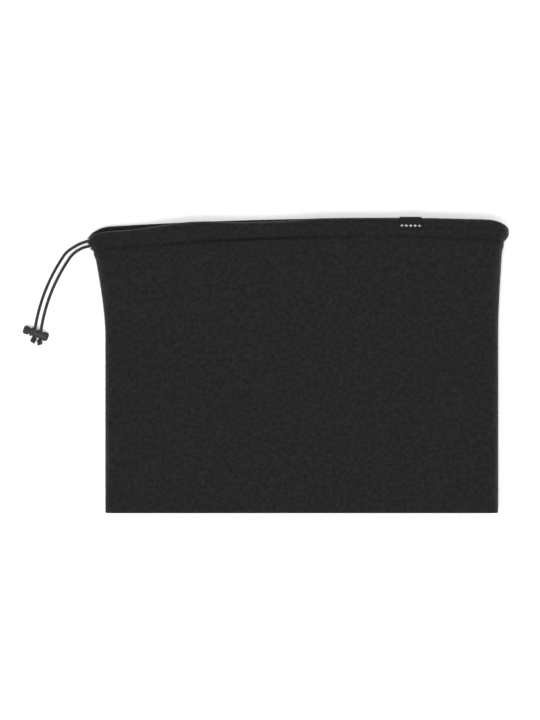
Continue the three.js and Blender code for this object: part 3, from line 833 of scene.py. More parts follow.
    def place(self, around: np.ndarray, down: np.ndarray, depth: np.ndarray) -> np.ndarray:
        """Points on the wall.

        The folds are half circles about the middle height, and the front and back are flat between them.
        The bow, the drawn-out lips, the stitch valley and the lie of the fabric are added to that.

        Args:
            around: how far round, 0 to 4.
            down: how far below the top edge.
            depth: how far in from the outer face.

        Returns:
            The points, with one more axis than the arguments.
        """
        around, down, depth = np.broadcast_arrays(around, down, depth)
        left, right, half = self.envelope(down)
        part = np.floor(around) % 4
        share = around - np.floor(around)
        turn = np.select(
            [part == 0, part == 1, part == 2],
            [np.pi / 2, np.pi / 2 - share * np.pi, -np.pi / 2],
            -np.pi / 2 - share * np.pi,
        )
        across = np.select([part == 0, part == 1, part == 2], [share, 1.0, 1 - share], 0.0)
        across = np.where(part == 3, 0.0, across)
        cos, sin = np.where((part == 0) | (part == 2), 0.0, np.cos(turn)), np.sin(turn)
        middle = mix(left + half, right - half, across)
        outer_ply = 1 - smooth(self.fleece, self.fleece + self.tunnel, depth)
        pulled = depth + self.valley(middle, down)
        x = middle + (half - pulled) * cos
        y = self.top - down - self.bow_drop(x, down)
        ear = np.exp(-(((down - self.opening_down) / self.ear_spread) ** 2)) * outer_ply
        bumped = x - self.ear_reach * ear * np.where(part == 3, np.maximum(-cos, 0), 0)
        front = smooth(-0.6, 1.0, sin)
        lift = front * self.front_lift(x, y, down) + (1 - front) * self.back_lift(x, y)
        y = y - front * self.front_drop(x) * (1 - np.clip(down / self.casing_height, 0, 1))
        return np.stack([bumped, y, half + (half - pulled) * sin + lift], axis=-1)

    def off_face(self, along: np.ndarray, out: np.ndarray) -> tuple[np.ndarray, np.ndarray]:
        """A place off the casing's outer face as (down, depth).

        Args:
            along: distance up the face, which goes on over the top fold.
            out: distance off the face.

        Returns:
            Down and depth.
        """
        angle = np.maximum(along, 0) / self.fold_radius
        reach = self.fold_radius + out
        down = self.fold_radius - reach * np.sin(angle) - np.minimum(along, 0)
        return down, self.fold_radius - reach * np.cos(angle)

    def round_at(self, x: np.ndarray, down: np.ndarray) -> np.ndarray:
        """The value of round at which the front has this x."""
        left, right, half = self.envelope(down)
        return (x - left - half) / (right - left - 2 * half)


WALL = Wall()


# ---- Fleece ------------------------------------------------------------------------


@dataclass
class FleeceTube:
    """The panel of fleece sewn into a tube, with its casing, its seam ridge and its pile."""

    wall: Wall = WALL
    raw_edge: float = 0.35 * MM
    slit_middle: float = -3.6 * MM
    slit_half: float = 4.5 * MM
    slit_front: float = 0.135
    slit_back: float = 0.155
    seam_groove: float = 0.8 * MM
    ridge_width: float = 6 * MM
    thread: float = 0.42 * MM
    overlock_pitch: float = 2.4 * MM
    girth: float = 560 * MM
    fibres: int = 44000

    def outline(self) -> tuple[np.ndarray, np.ndarray, np.ndarray, np.ndarray, np.ndarray]:
        """The panel from its lower edge up the outside, over the top fold and down the turned-in ply.

        Returns:
            Down and depth of the outer skin, down and depth of the inner skin, and the distance along,
            which is 0 where the top fold starts and negative below it.
        """
        wall, ply = self.wall, self.wall.fleece
        radius, height = wall.fold_radius, wall.casing_height
        body = np.concatenate([
            np.linspace(wall.tube_height, 70 * MM, 54, endpoint=False),
            np.linspace(70 * MM, 26 * MM, 26, endpoint=False),
            np.linspace(26 * MM, radius, 34, endpoint=False),
        ])
        turn = np.linspace(0, np.pi, 13)
        turned = np.linspace(radius, height + wall.hem, 22)[1:]
        settle = smooth(height - wall.dip_reach, height, turned)
        inside = mix(wall.casing_wall, 2 * ply + wall.ply_gap, settle)
        outer_down = np.concatenate([body, radius - radius * np.sin(turn), turned])
        outer_depth = np.concatenate([0 * body, radius - radius * np.cos(turn), inside])
        inner_down = np.concatenate([body, radius - (radius - ply) * np.sin(turn), turned])
        inner_depth = np.concatenate([0 * body + ply, radius - (radius - ply) * np.cos(turn), inside - ply])
        along = np.concatenate([radius - body, radius * turn, radius * np.pi + turned - radius])
        return outer_down, outer_depth, inner_down, inner_depth, along

    def columns(self) -> np.ndarray:
        """Values of round from the seam at the left fold, over the front and the back, to the seam again."""
        near = np.array([0, 0.008, 0.02, 0.036, 0.06, 0.095, 0.14, 0.2, 0.27, 0.34, 0.42])
        front = np.linspace(0, 1, 124)
        fold = np.linspace(0, 1, 16)[1:-1]
        back = np.linspace(0, 1, 84)
        return np.concatenate([3.5 + near, 4 + front, 5 + fold, 6 + back, 7.5 - near[::-1]])

    def parted(self, around: np.ndarray, along: np.ndarray) -> np.ndarray:
        """Opens the seam into the slit that the cords leave by.

        The two edges move apart by a flattened lens of the distance along, and the shift fades out to the
        middle of the fold's two sides.

        Args:
            around: values of round, 3.5 to 7.5.
            along: distance along the outline.

        Returns:
            The shifted values of round.
        """
        lens = np.maximum(1 - np.abs((along - self.slit_middle) / self.slit_half) ** 3, 0) ** (1 / 3)
        start, stop = np.clip((4 - around) / 0.5, 0, 1), np.clip((around - 7) / 0.5, 0, 1)
        closed = 0.004
        return (
            around
            + (closed + self.slit_front * lens) * start
            - (closed + self.slit_back * lens) * stop
        )

    def build_panel(self) -> bpy.types.Object:
        """The panel as one closed slab: both skins, rounded cut edges, and both ends closed at the seam."""
        wall = self.wall
        outer_down, outer_depth, inner_down, inner_depth, along = self.outline()
        around = self.columns()
        middle_down, middle_depth = (outer_down + inner_down) / 2, (outer_depth + inner_depth) / 2
        down = np.concatenate([
            outer_down, [outer_down[-1] + self.raw_edge], inner_down[::-1], [outer_down[0] + self.raw_edge]
        ])
        depth = np.concatenate([outer_depth, [middle_depth[-1]], inner_depth[::-1], [middle_depth[0]]])
        core_down = np.concatenate([middle_down, [middle_down[-1]], middle_down[::-1], [middle_down[0]]])
        core_depth = np.concatenate([middle_depth, [middle_depth[-1]], middle_depth[::-1], [middle_depth[0]]])
        run = np.concatenate([along, [along[-1]], along[::-1], [along[0]]])
        from_end = np.minimum(around - 3.5, 7.5 - around) * np.pi * wall.body_thickness / 2
        full = np.sqrt(1 - np.clip(1 - from_end / (0.9 * MM), 0, 1) ** 2) * 0.75 + 0.25
        full = full[:, None]
        groove = self.seam_groove * np.exp(-((from_end / (1.1 * MM)) ** 2))[:, None]
        on_outside = smooth(wall.fold_radius * 2, 0, np.broadcast_to(run, (len(around), len(run))))
        points = wall.place(
            self.parted(around[:, None], run),
            mix(core_down, down, full),
            mix(core_depth, depth, full) + groove * on_outside,
        )
        patch = grid(points, wrap_columns=True)
        # Painted shade along the stitch row's valley, strongest near x = -30 mm, passed to the fleece's
        # colour as the point tone.
        from_row = run - (wall.fold_radius - wall.casing_height)
        valley_shade_strength = 0.2 + 0.6 * np.exp(-(((points[..., 0] + 30 * MM) / (45 * MM)) ** 2))
        patch.shade = (valley_shade_strength * on_outside * np.exp(-((from_row / (1.7 * MM)) ** 2))).ravel()
        count, last = len(along), (len(around) - 1) * len(down)
        hem_edge, low_edge = count, 2 * count + 1
        k = np.arange(count - 1)
        ends = []
        for base in (0, last):
            cap = np.stack([k, k + 1, 2 * count - 1 - k, 2 * count - k], axis=1) + base
            ends += [tuple(face) for face in cap.tolist()]
            ends += [
                (base + count - 1, base + hem_edge, base + count + 1),
                (base + 2 * count, base + low_edge, base),
            ]
        half = len(ends) // 2
        patch.loose += [face[::-1] for face in ends[:half]] + ends[half:]
        made = piece("fleece_tube", patch, Body.GAITER, FLEECE)
        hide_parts("fleece_panel")
        return made

    def build_pile(self) -> bpy.types.Object:
        """Loose fibres of the brushed pile on the folds and edges, where they are seen from the side.

        Each is a three-sided spike from a point on the outer face, leaning well away from straight out in a
        random direction.
        """
        wall = self.wall
        draws = np.random.default_rng(11)
        count = self.fibres
        outer_down, outer_depth, inner_down, inner_depth, along = self.outline()
        on_top = draws.random(count) < 0.5
        places = np.where(
            on_top,
            draws.normal(wall.fold_radius * 1.5, 2.4 * MM, count),
            draws.uniform(along[0], along[-1], count),
        )
        places = np.clip(places, along[0] + 0.3 * MM, wall.fold_radius * np.pi + 3 * MM)
        side = np.where(
            draws.random(count) < 0.5, draws.normal(5.45, 0.2, count), draws.normal(3.58, 0.2, count)
        )
        around = np.where(on_top, draws.uniform(3.5, 7.5, count), side)
        around = np.where(around < 3.5, around + 4, around)
        root_down, root_depth = np.interp(places, along, outer_down), np.interp(places, along, outer_depth)
        core_down, core_depth = np.interp(places, along, inner_down), np.interp(places, along, inner_depth)
        around = self.parted(around, places)
        root = wall.place(around, mix(root_down, core_down, 0.08), mix(root_depth, core_depth, 0.08))
        inward = wall.place(around, core_down, core_depth)
        out = unit(root - inward)
        lean = draws.normal(0, 0.8, (count, 3))
        reach = draws.uniform(0.2, 0.55, count)[:, None] * MM
        tip = root + unit(out + lean - out * np.sum(lean * out, axis=1, keepdims=True)) * reach
        tip[:, 2] = np.maximum(tip[:, 2], 0.05 * MM)
        one = unit(np.cross(out, np.where(np.abs(out[:, :1]) < 0.8, [[1.0, 0, 0]], [[0, 1.0, 0]])))
        two = np.cross(out, one)
        thick = 0.032 * MM
        turns = (0, 2 * math.pi / 3, 4 * math.pi / 3)
        corners = [root + thick * (math.cos(turn) * one + math.sin(turn) * two) for turn in turns]
        points = np.stack([*corners, tip], axis=1).reshape(-1, 3)
        base = 4 * np.arange(count)[:, None, None]
        sides = np.array([[0, 1, 3, 0], [1, 2, 3, 1], [2, 0, 3, 2], [2, 1, 0, 2]])[None] + base
        return piece("fleece_pile", Patch(points, sides.reshape(-1, 4)), Body.GAITER, PILE)

    def seam_line(self, inset: float) -> np.ndarray:
        """Points up the inside of the left fold, from the lower edge to just below the hem."""
        wall = self.wall
        down = np.linspace(wall.tube_height - inset, wall.casing_height + wall.hem + 1 * MM + inset, 90)
        return wall.place(3.5, down, wall.fleece)

    def build_ridge(self) -> bpy.types.Object:
        """The seam allowance: two plies side by side, standing into the tube.

        The section is a flattened round with a groove between the plies, and the free edge waves a little.
        """
        line = self.seam_line(0.5 * MM)
        angle = np.linspace(0, 2 * np.pi, 28, endpoint=False)
        wide = self.ridge_width / 2
        tall = self.wall.fleece + self.wall.ply_gap / 2
        clear = 0.55 * MM
        wave = 0.3 * MM * np.sin(line[:, 1] / (6 * MM))[:, None]
        x = clear + wide * (1 + np.sign(np.cos(angle)) * np.abs(np.cos(angle)) ** 0.6)
        groove = 1 - 0.3 * np.exp(-(((angle + np.pi) % (2 * np.pi) - np.pi) / 0.35) ** 2)
        z = tall * np.sign(np.sin(angle)) * np.abs(np.sin(angle)) ** 0.55
        points = np.stack([
            line[:, :1] + x * groove + wave * 0.4 * (1 + np.cos(angle)),
            np.broadcast_to(line[:, 1:2], (len(line), len(angle))),
            line[:, 2:3] + z + wave * 0.5,
        ], axis=-1)
        patch = capped(grid(points, wrap_columns=True), len(line), len(angle))
        made = piece("seam_ridge", patch, Body.GAITER, FLEECE)
        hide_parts("side_seam")
        return made

    def build_overlock(self) -> bpy.types.Object:
        """The overlock thread: a flattened spiral round the ridge's free edge."""
        line = self.seam_line(1.2 * MM)
        span = length_of(line)
        turns = span / self.overlock_pitch
        t = np.linspace(0, 1, int(16 * turns))
        at = np.stack([np.interp(t, np.linspace(0, 1, len(line)), line[:, k]) for k in range(3)], axis=1)
        phase = 2 * np.pi * turns * t
        middle, reach = 0.55 * MM + 0.74 * self.ridge_width, 0.33 * self.ridge_width
        tall = self.wall.fleece + self.wall.ply_gap / 2 + self.thread / 2
        at[:, 0] += middle + reach * np.cos(phase)
        at[:, 2] += tall * np.sin(phase)
        made = piece("overlock_thread", rod(at, self.thread / 2, 5), Body.GAITER, THREAD)
        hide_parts("side_seam_thread")
        return made


@dataclass
class CasingStitches:
    """The row of lockstitches under the casing and the two bartacks that end the cord's slit."""

    wall: Wall = WALL
    pitch: float = 3.1 * MM
    needle: float = 0.34 * MM
    stitch: float = 2.7 * MM
    bartack: float = 0.26 * MM
    bartack_width: float = 1.2 * MM
    bartack_reach: float = 0.13
    upper: float = 1.2 * MM
    lower: float = -8.5 * MM

    def build_row(self, name: str, node: str, depth: float, out: float) -> bpy.types.Object:
        """One side of the row: a short rounded thread for each stitch, its ends drawn into the fleece.

        Args:
            name: the piece's name.
            node: the CAD node it stands for.
            depth: the depth of the face it lies on.
            out: +1 where it stands out of the tube, -1 where it stands into it.

        Returns:
            The row of stitches.
        """
        around = np.linspace(3.52, 7.48, 2400)
        height = self.wall.casing_height
        row = self.wall.place(around, height, depth)
        run = run_along(row)
        count = int(run[-1] / self.pitch)
        starts = (np.arange(count) + 0.5) * run[-1] / count
        share = np.linspace(-0.5, 0.5, 8)
        at = starts[:, None] + share * self.stitch
        here = np.interp(at, run, around)
        radius = self.needle / 2
        rise = out * (0.4 - 2.6 * share**2) * self.needle
        line = self.wall.place(here, height, depth - rise)
        over = unit(self.wall.place(here, height, depth - out * MM) - self.wall.place(here, height, depth))
        along = unit(np.gradient(line, axis=1))
        across = unit(np.cross(along, over))
        over = np.cross(across, along)
        angle = np.linspace(0, 2 * np.pi, 6, endpoint=False)
        taper = radius * np.sqrt(1 - (1.92 * np.abs(share)) ** 4)[None, :, None, None]
        rings = line[:, :, None] + taper * (
            np.cos(angle)[:, None] * across[:, :, None] + np.sin(angle)[:, None] * over[:, :, None]
        )
        made = piece(name, many(rings), Body.GAITER, THREAD)
        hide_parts(node)
        return made

    def build_bartack(self, name: str, node: str, along: float) -> bpy.types.Object:
        """A bar of close zigzag across the end of the slit, curved round the left fold.

        Args:
            name: the piece's name.
            node: the CAD node it stands for.
            along: its middle, measured up the face from where the top fold starts.

        Returns:
            The bartack.
        """
        t = np.linspace(0, 1, 181)
        swing = np.arcsin(np.sin(2 * np.pi * 15 * t)) * 2 / np.pi
        around = 7.5 - self.bartack_reach + 2 * self.bartack_reach * t
        out = 0.2 * MM + self.bartack * 0.4 * np.cos(np.pi * swing / 2)
        down, depth = self.wall.off_face(along + swing * self.bartack_width / 2, out)
        line = self.wall.place(around, down, depth)
        thread = rod(line, rounded_ends(line, self.bartack / 2), 6)
        made = piece(name, thread, Body.GAITER, THREAD)
        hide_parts(node)
        return made


# ---- Labels ------------------------------------------------------------------------


@dataclass
class Labels:
    """The woven label folded over the top edge, its stitches, and the blank care label inside."""

    wall: Wall = WALL
    middle: float = 77 * MM
    width: float = 15 * MM
    drop: float = 7.6 * MM
    thickness: float = 0.45 * MM
    off: float = 0.3 * MM
    stitch_inset: float = 1.1 * MM
    stitch_thread: float = 0.3 * MM
    stitch_count: int = 3
    care_width: float = 22 * MM
    care_length: float = 30 * MM
    care_thickness: float = 0.4 * MM
    care_height: float = 70 * MM

    def strip(self, out: float) -> np.ndarray:
        """The label's skin at a distance off the fleece: across its width by along its fold."""
        radius = self.wall.fold_radius
        straight = self.drop - radius
        face = np.linspace(-straight, 0, 16, endpoint=False)
        fold = np.linspace(0, radius * np.pi, 18)
        down, depth = self.wall.off_face(np.concatenate([face, fold]), out)
        behind = np.linspace(radius, self.drop, 16)[1:]
        down = np.concatenate([down, behind])
        depth = np.concatenate([depth, np.full(len(behind), self.wall.casing_wall + out)])
        x = self.middle + np.linspace(-0.5, 0.5, 25)[:, None] * self.width
        return self.wall.place(self.wall.round_at(x, down), down, depth)

    def build_woven(self) -> bpy.types.Object:
        """The woven label: two skins closed round all four edges, with a heat-cut rim a little thinner."""
        inner, outer = self.strip(self.off), self.strip(self.off + self.thickness)
        rows, columns = outer.shape[:2]
        edge = np.ones((rows, columns))
        edge[[0, -1]] = edge[:, [0, -1]] = 0.6
        outer = mix(inner, outer, edge[..., None])
        patch, under = grid(outer), grid(inner)
        count = rows * columns
        border = np.concatenate([
            np.arange(columns - 1),
            np.arange(rows - 1) * columns + columns - 1,
            (rows - 1) * columns + np.arange(columns - 1, 0, -1),
            np.arange(rows - 1, 0, -1) * columns,
        ])
        follow = np.roll(border, -1)
        rim = np.stack([border, follow, follow + count, border + count], axis=1)
        faces = np.concatenate([patch.faces, under.faces[:, ::-1] + count, rim[:, ::-1]])
        uv = np.concatenate([patch.uv, under.uv.reshape(-1, 4, 2)[:, ::-1].reshape(-1, 2)])
        made = piece(
            "woven_label_folded",
            Patch(np.concatenate([patch.points, under.points]), faces, uv),
            Body.GAITER,
            DAMASK,
        )
        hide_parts("woven_label")
        return made

    def build_stitches(self, name: str, node: str, x: float) -> bpy.types.Object:
        """Short stitches down one side of the label."""
        share = np.linspace(-0.5, 0.5, 7)
        room = self.drop - self.wall.fold_radius - 1.3 * MM
        middles = (np.arange(self.stitch_count) + 0.5) * room / self.stitch_count
        middles = middles + self.wall.fold_radius + 0.5 * MM
        down = middles[:, None] + share * room / self.stitch_count * 0.86
        rise = (0.5 - 1.9 * share**2) * self.stitch_thread
        depth = -(self.off + self.thickness + rise)
        line = self.wall.place(self.wall.round_at(x, down), down, depth)
        radius = self.stitch_thread / 2 * np.sqrt(1 - (1.92 * np.abs(share)) ** 4)
        rings = np.stack([tube(one, radius[:, None], 6) for one in line])
        made = piece(name, many(rings), Body.GAITER, THREAD)
        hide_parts(node)
        return made

    def build_care(self) -> bpy.types.Object:
        """The care label: a ribbon that leaves the ridge, bends down and lies on the back half in a wave."""
        low = self.wall.top - self.wall.tube_height + self.care_height
        left, _, half = self.wall.envelope(self.wall.top - low)
        start = left + self.wall.fleece + 1.3 * MM
        high = half - self.wall.fleece - 0.45 * MM - self.care_thickness
        rest = self.wall.fleece + 0.9 * MM
        x = np.linspace(0, self.care_width, 45)[:, None]
        y = np.linspace(0, self.care_length, 31)[None]
        bend = smooth(2.5 * MM, 9 * MM, x)
        wave = 0.22 * MM * np.sin(x / (2.6 * MM) + y / (9 * MM)) * bend
        z = mix(high, rest, bend) + wave
        top = np.stack(np.broadcast_arrays(start + x, low + y, z + self.care_thickness), axis=-1)
        under = np.stack(np.broadcast_arrays(start + x, low + y, z + 0 * y), axis=-1)
        ring = np.concatenate([top, under[:, ::-1]], axis=1)
        patch = grid(ring, wrap_columns=True)
        columns, last = ring.shape[1], (ring.shape[0] - 1) * ring.shape[1]
        patch.loose += [tuple(range(columns)), tuple(range(last + columns - 1, last - 1, -1))]
        made = piece("care_ribbon", patch, Body.GAITER, RIBBON)
        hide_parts("care_label")
        return made


# ---- Drawcord ----------------------------------------------------------------------


@dataclass
class Drawcord:
    """The elastic drawcord: the loop in the casing, the two free ends and their knots."""

    wall: Wall = WALL
    diameter: float = 1.9 * MM
    relief: float = 0.075 * MM
    strands: int = 6
    lay: float = 5.4 * MM
    arc_radius: float = 118 * MM
    arc_centre: tuple[float, float] = (-59.25 * MM, 6.2 * MM)
    level: float = 3.15 * MM
    opening_level: float = 8 * MM
    depth_front: float = 4.6 * MM
    depth_back: float = 9.2 * MM
    knot_radius: float = 2.1 * MM
    knot_seat: float = 0.3 * MM
    meeting_gap: float = 0.3 * MM
    knot_scale: float = 0.5 * MM
    knot_strand: float = 0.72 * MM

    def outer_route(self, lock: "CordLock") -> np.ndarray:
        """The outer end's route: out of the tunnel at the left fold, over the table, through its hole."""
        start = self.in_tunnel([
            (3.99, 4.6, 0),
            (3.9, 4.7, 0),
            (3.8, 4.7, 0),
            (3.68, 4.8, 0.03),
            (3.57, 5.1, 0.25),
        ])
        table = self.on_arc([
            (136.6, -4.8, 1.08),
            (137.4, -3.8, 0.9),
            (138.4, -2.6, 0.71),
            (139.7, -1.3, 0.53),
            (141.3, 0, 0.36),
            (143, 1.2, 0.18),
            (144.6, 2, 0.05),
            (146.4, 2.1, 0),
            *((angle, 2.1, 0) for angle in range(149, 171, 3)),
        ])
        return np.concatenate([start, table, self.through_lock(lock, -1)])

    def inner_route(self, lock: "CordLock") -> np.ndarray:
        """The inner end's route, which starts in the back half of the tunnel."""
        start = self.in_tunnel([
            (3.016, 9.2, 0.06),
            (3.1, 9.2, 0.08),
            (3.2, 9.2, 0.08),
            (3.3, 9.2, 0.24),
        ])
        table = self.on_arc([
            (137.4, -8.1, 0.63),
            (138.1, -7.1, 0.69),
            (138.9, -6, 0.65),
            (139.9, -4.8, 0.53),
            (141.2, -3.7, 0.38),
            (142.8, -2.7, 0.22),
            (144.6, -2.1, 0.05),
            (146.4, -2.1, 0),
            *((angle, -2.1, 0) for angle in range(149, 171, 3)),
        ])
        return np.concatenate([start, table, self.through_lock(lock, 1)])

    def in_tunnel(self, places: list[tuple[float, float, float]]) -> np.ndarray:
        """Points from (round, millimetres down, millimetres out from the tunnel's middle)."""
        around, down, out = np.array(places, float).T
        return self.wall.place(around, down * MM, self.wall.fleece + self.wall.tunnel / 2 - out * MM)

    def through_lock(self, lock: "CordLock", side: int) -> np.ndarray:
        """The middle of a cord's hole and the place where the cord goes into its knot."""
        hole = lock.place(side * lock.hole_spacing / 2, 0)
        onward = self.knot_middle(lock, side) - hole
        far = np.linalg.norm(onward)
        return np.stack([hole, hole + onward * (1 - (self.knot_radius + self.meeting_gap) / far)])

    def knot_middle(self, lock: "CordLock", side: int) -> np.ndarray:
        """The middle of a knot, drawn up to the barrel.

        Args:
            lock: the cord lock.
            side: -1 for the outer end, 1 for the inner one.

        Returns:
            The point.
        """
        apart = 2 * self.knot_radius + self.meeting_gap
        behind = lock.barrel_radius + self.meeting_gap + self.knot_radius - self.knot_seat
        return lock.place(behind * math.tan(math.radians(lock.tilt)) + side * apart / 2, -behind)

    def on_arc(self, places: list[tuple[float, float, float]]) -> np.ndarray:
        """Points from (degrees about the arc's centre, millimetres out from the arc, share of the climb)."""
        angle, out, share = np.array(places, float).T
        reach = self.arc_radius + out * MM
        turn = np.radians(angle)
        return np.stack([
            self.arc_centre[0] + reach * np.cos(turn),
            self.arc_centre[1] + reach * np.sin(turn),
            mix(self.level, self.opening_level, share),
        ], axis=1)

    def braid(self, line: np.ndarray, radius: np.ndarray, sides: int) -> Patch:
        """A braided sleeve along a line.

        Two families of strands wind opposite ways. Each point's height is the higher of the two families'
        round crests, raised or lowered by the over and under of the weave, which is the product of the sines
        of both winding angles. Every other strand of one family is grey.

        Args:
            line: points along the middle.
            radius: the sleeve's radius at each point.
            sides: points round each ring.

        Returns:
            The open-ended sleeve, with each point's share of grey strand.
        """
        run = run_along(line)[:, None]
        angle = np.linspace(0, 1, sides, endpoint=False)[None]
        right = self.strands * (angle + run / self.lay)
        left = self.strands * (angle - run / self.lay)
        weave = 0.55 * np.sin(np.pi * right) * np.sin(np.pi * left)
        crest_right = np.abs(np.sin(np.pi * right)) ** 0.7 + weave
        crest_left = np.abs(np.sin(np.pi * left)) ** 0.7 - weave
        height = np.maximum(crest_right, crest_left)
        sleeve = radius[:, None] + self.relief * (height - 0.4)
        patch = grid(tube(line, sleeve, sides), wrap_columns=True)
        dyed = np.floor(right) % 2 == 0
        grey = dyed * smooth(-0.12, 0.3, crest_right - crest_left) * smooth(0.35, 0.9, height)
        patch.shade = np.broadcast_to(grey, (len(line), sides)).ravel()
        patch.uv = None
        return capped(patch, len(line), sides)

    def build_leg(self, name: str, node: str, points: np.ndarray) -> tuple[bpy.types.Object, np.ndarray]:
        """One free end.

        Args:
            name: the piece's name.
            node: the CAD node it stands for.
            points: its route.

        Returns:
            The cord and the line along its middle.
        """
        line = route(points, 0.12 * MM)
        sleeve = self.braid(line, np.full(len(line), self.diameter / 2), 48)
        made = piece(name, sleeve, Body.GAITER, CORD)
        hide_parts(node)
        return made, line

    def build_in_casing(self) -> bpy.types.Object:
        """The loop in the tunnel, from one free end round to the other."""
        around = np.linspace(0.0022, 2.9978, 620)
        down = mix(self.depth_front, self.depth_back, smooth(2.72, 3.02, around))
        line = even(self.wall.place(around, down, self.wall.fleece + self.wall.tunnel / 2), 0.9 * MM)
        sleeve = self.braid(line, np.full(len(line), self.diameter / 2), 12)
        made = piece("drawcord_loop", sleeve, Body.GAITER, CORD)
        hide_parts("drawcord_in_casing")
        return made

    def knot_line(self, centre: np.ndarray, leg: np.ndarray, turn: float) -> np.ndarray:
        """The middle line of an overhand knot.

        The knot is an open trefoil, (sin t + 2 sin 2t, cos t - 2 cos 2t, -1.5 sin 3t), cut at one lobe, whose
        first end comes from the free cord and whose last end leaves as a short tail.

        Args:
            centre: the middle of the knot.
            leg: the line of the free end, up to the lock.
            turn: a turn of the knot about the cord, in degrees.

        Returns:
            Evenly spaced points.
        """
        onward = unit(leg[-1] - leg[-6])
        up = np.array([0.0, 0.0, 1.0])
        sideways = unit(np.cross(up, onward))
        tilt = math.radians(turn)
        across = math.cos(tilt) * sideways + math.sin(tilt) * up
        over = np.cross(onward, across)
        t = np.linspace(math.pi + 0.42, 3 * math.pi - 0.42, 160)
        a, b, c = np.sin(t) + 2 * np.sin(2 * t), np.cos(t) - 2 * np.cos(2 * t), -1.5 * np.sin(3 * t)
        loop = centre + self.knot_scale * (
            a[:, None] * onward + b[:, None] * across + c[:, None] * over
        )
        tail = loop[-1] + unit(loop[-1] - loop[-4]) * 0.6 * MM
        lead = np.stack([leg[-12], leg[-6], leg[-1]])
        return route(np.concatenate([lead, loop[::8], loop[-1:], tail[None]]), 0.12 * MM)

    def build_knot(
        self, name: str, node: str, centre: np.ndarray, leg: np.ndarray, turn: float
    ) -> list[bpy.types.Object]:
        """An overhand knot drawn tight, so its cord is thinner, and the pale core at the cut end.

        Args:
            name: the piece's name.
            node: the CAD node it stands for.
            centre: its middle.
            leg: the line of the free end.
            turn: the knot's turn about the cord, in degrees.

        Returns:
            The knot and the core's cut face.
        """
        line = self.knot_line(centre, leg, turn)
        run = np.linspace(0, length_of(line), len(line))
        radius = mix(self.diameter / 2, self.knot_strand, smooth(0.8 * MM, 2.4 * MM, run))
        knot = piece(name, self.braid(line, radius, 36), Body.GAITER, CORD)
        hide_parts(node)
        end = unit(line[-1] - line[-3])
        stub = line[-1] + end * np.linspace(-0.2, 0.12, 5)[:, None] * MM
        face = rod(stub, np.array([1.0, 1.0, 1.0, 0.9, 0.6])[:, None] * self.knot_strand * 0.72, 14)
        core = piece(f"{name}_core", face, Body.GAITER, CORE)
        return [knot, core]


# ---- Cord lock ---------------------------------------------------------------------


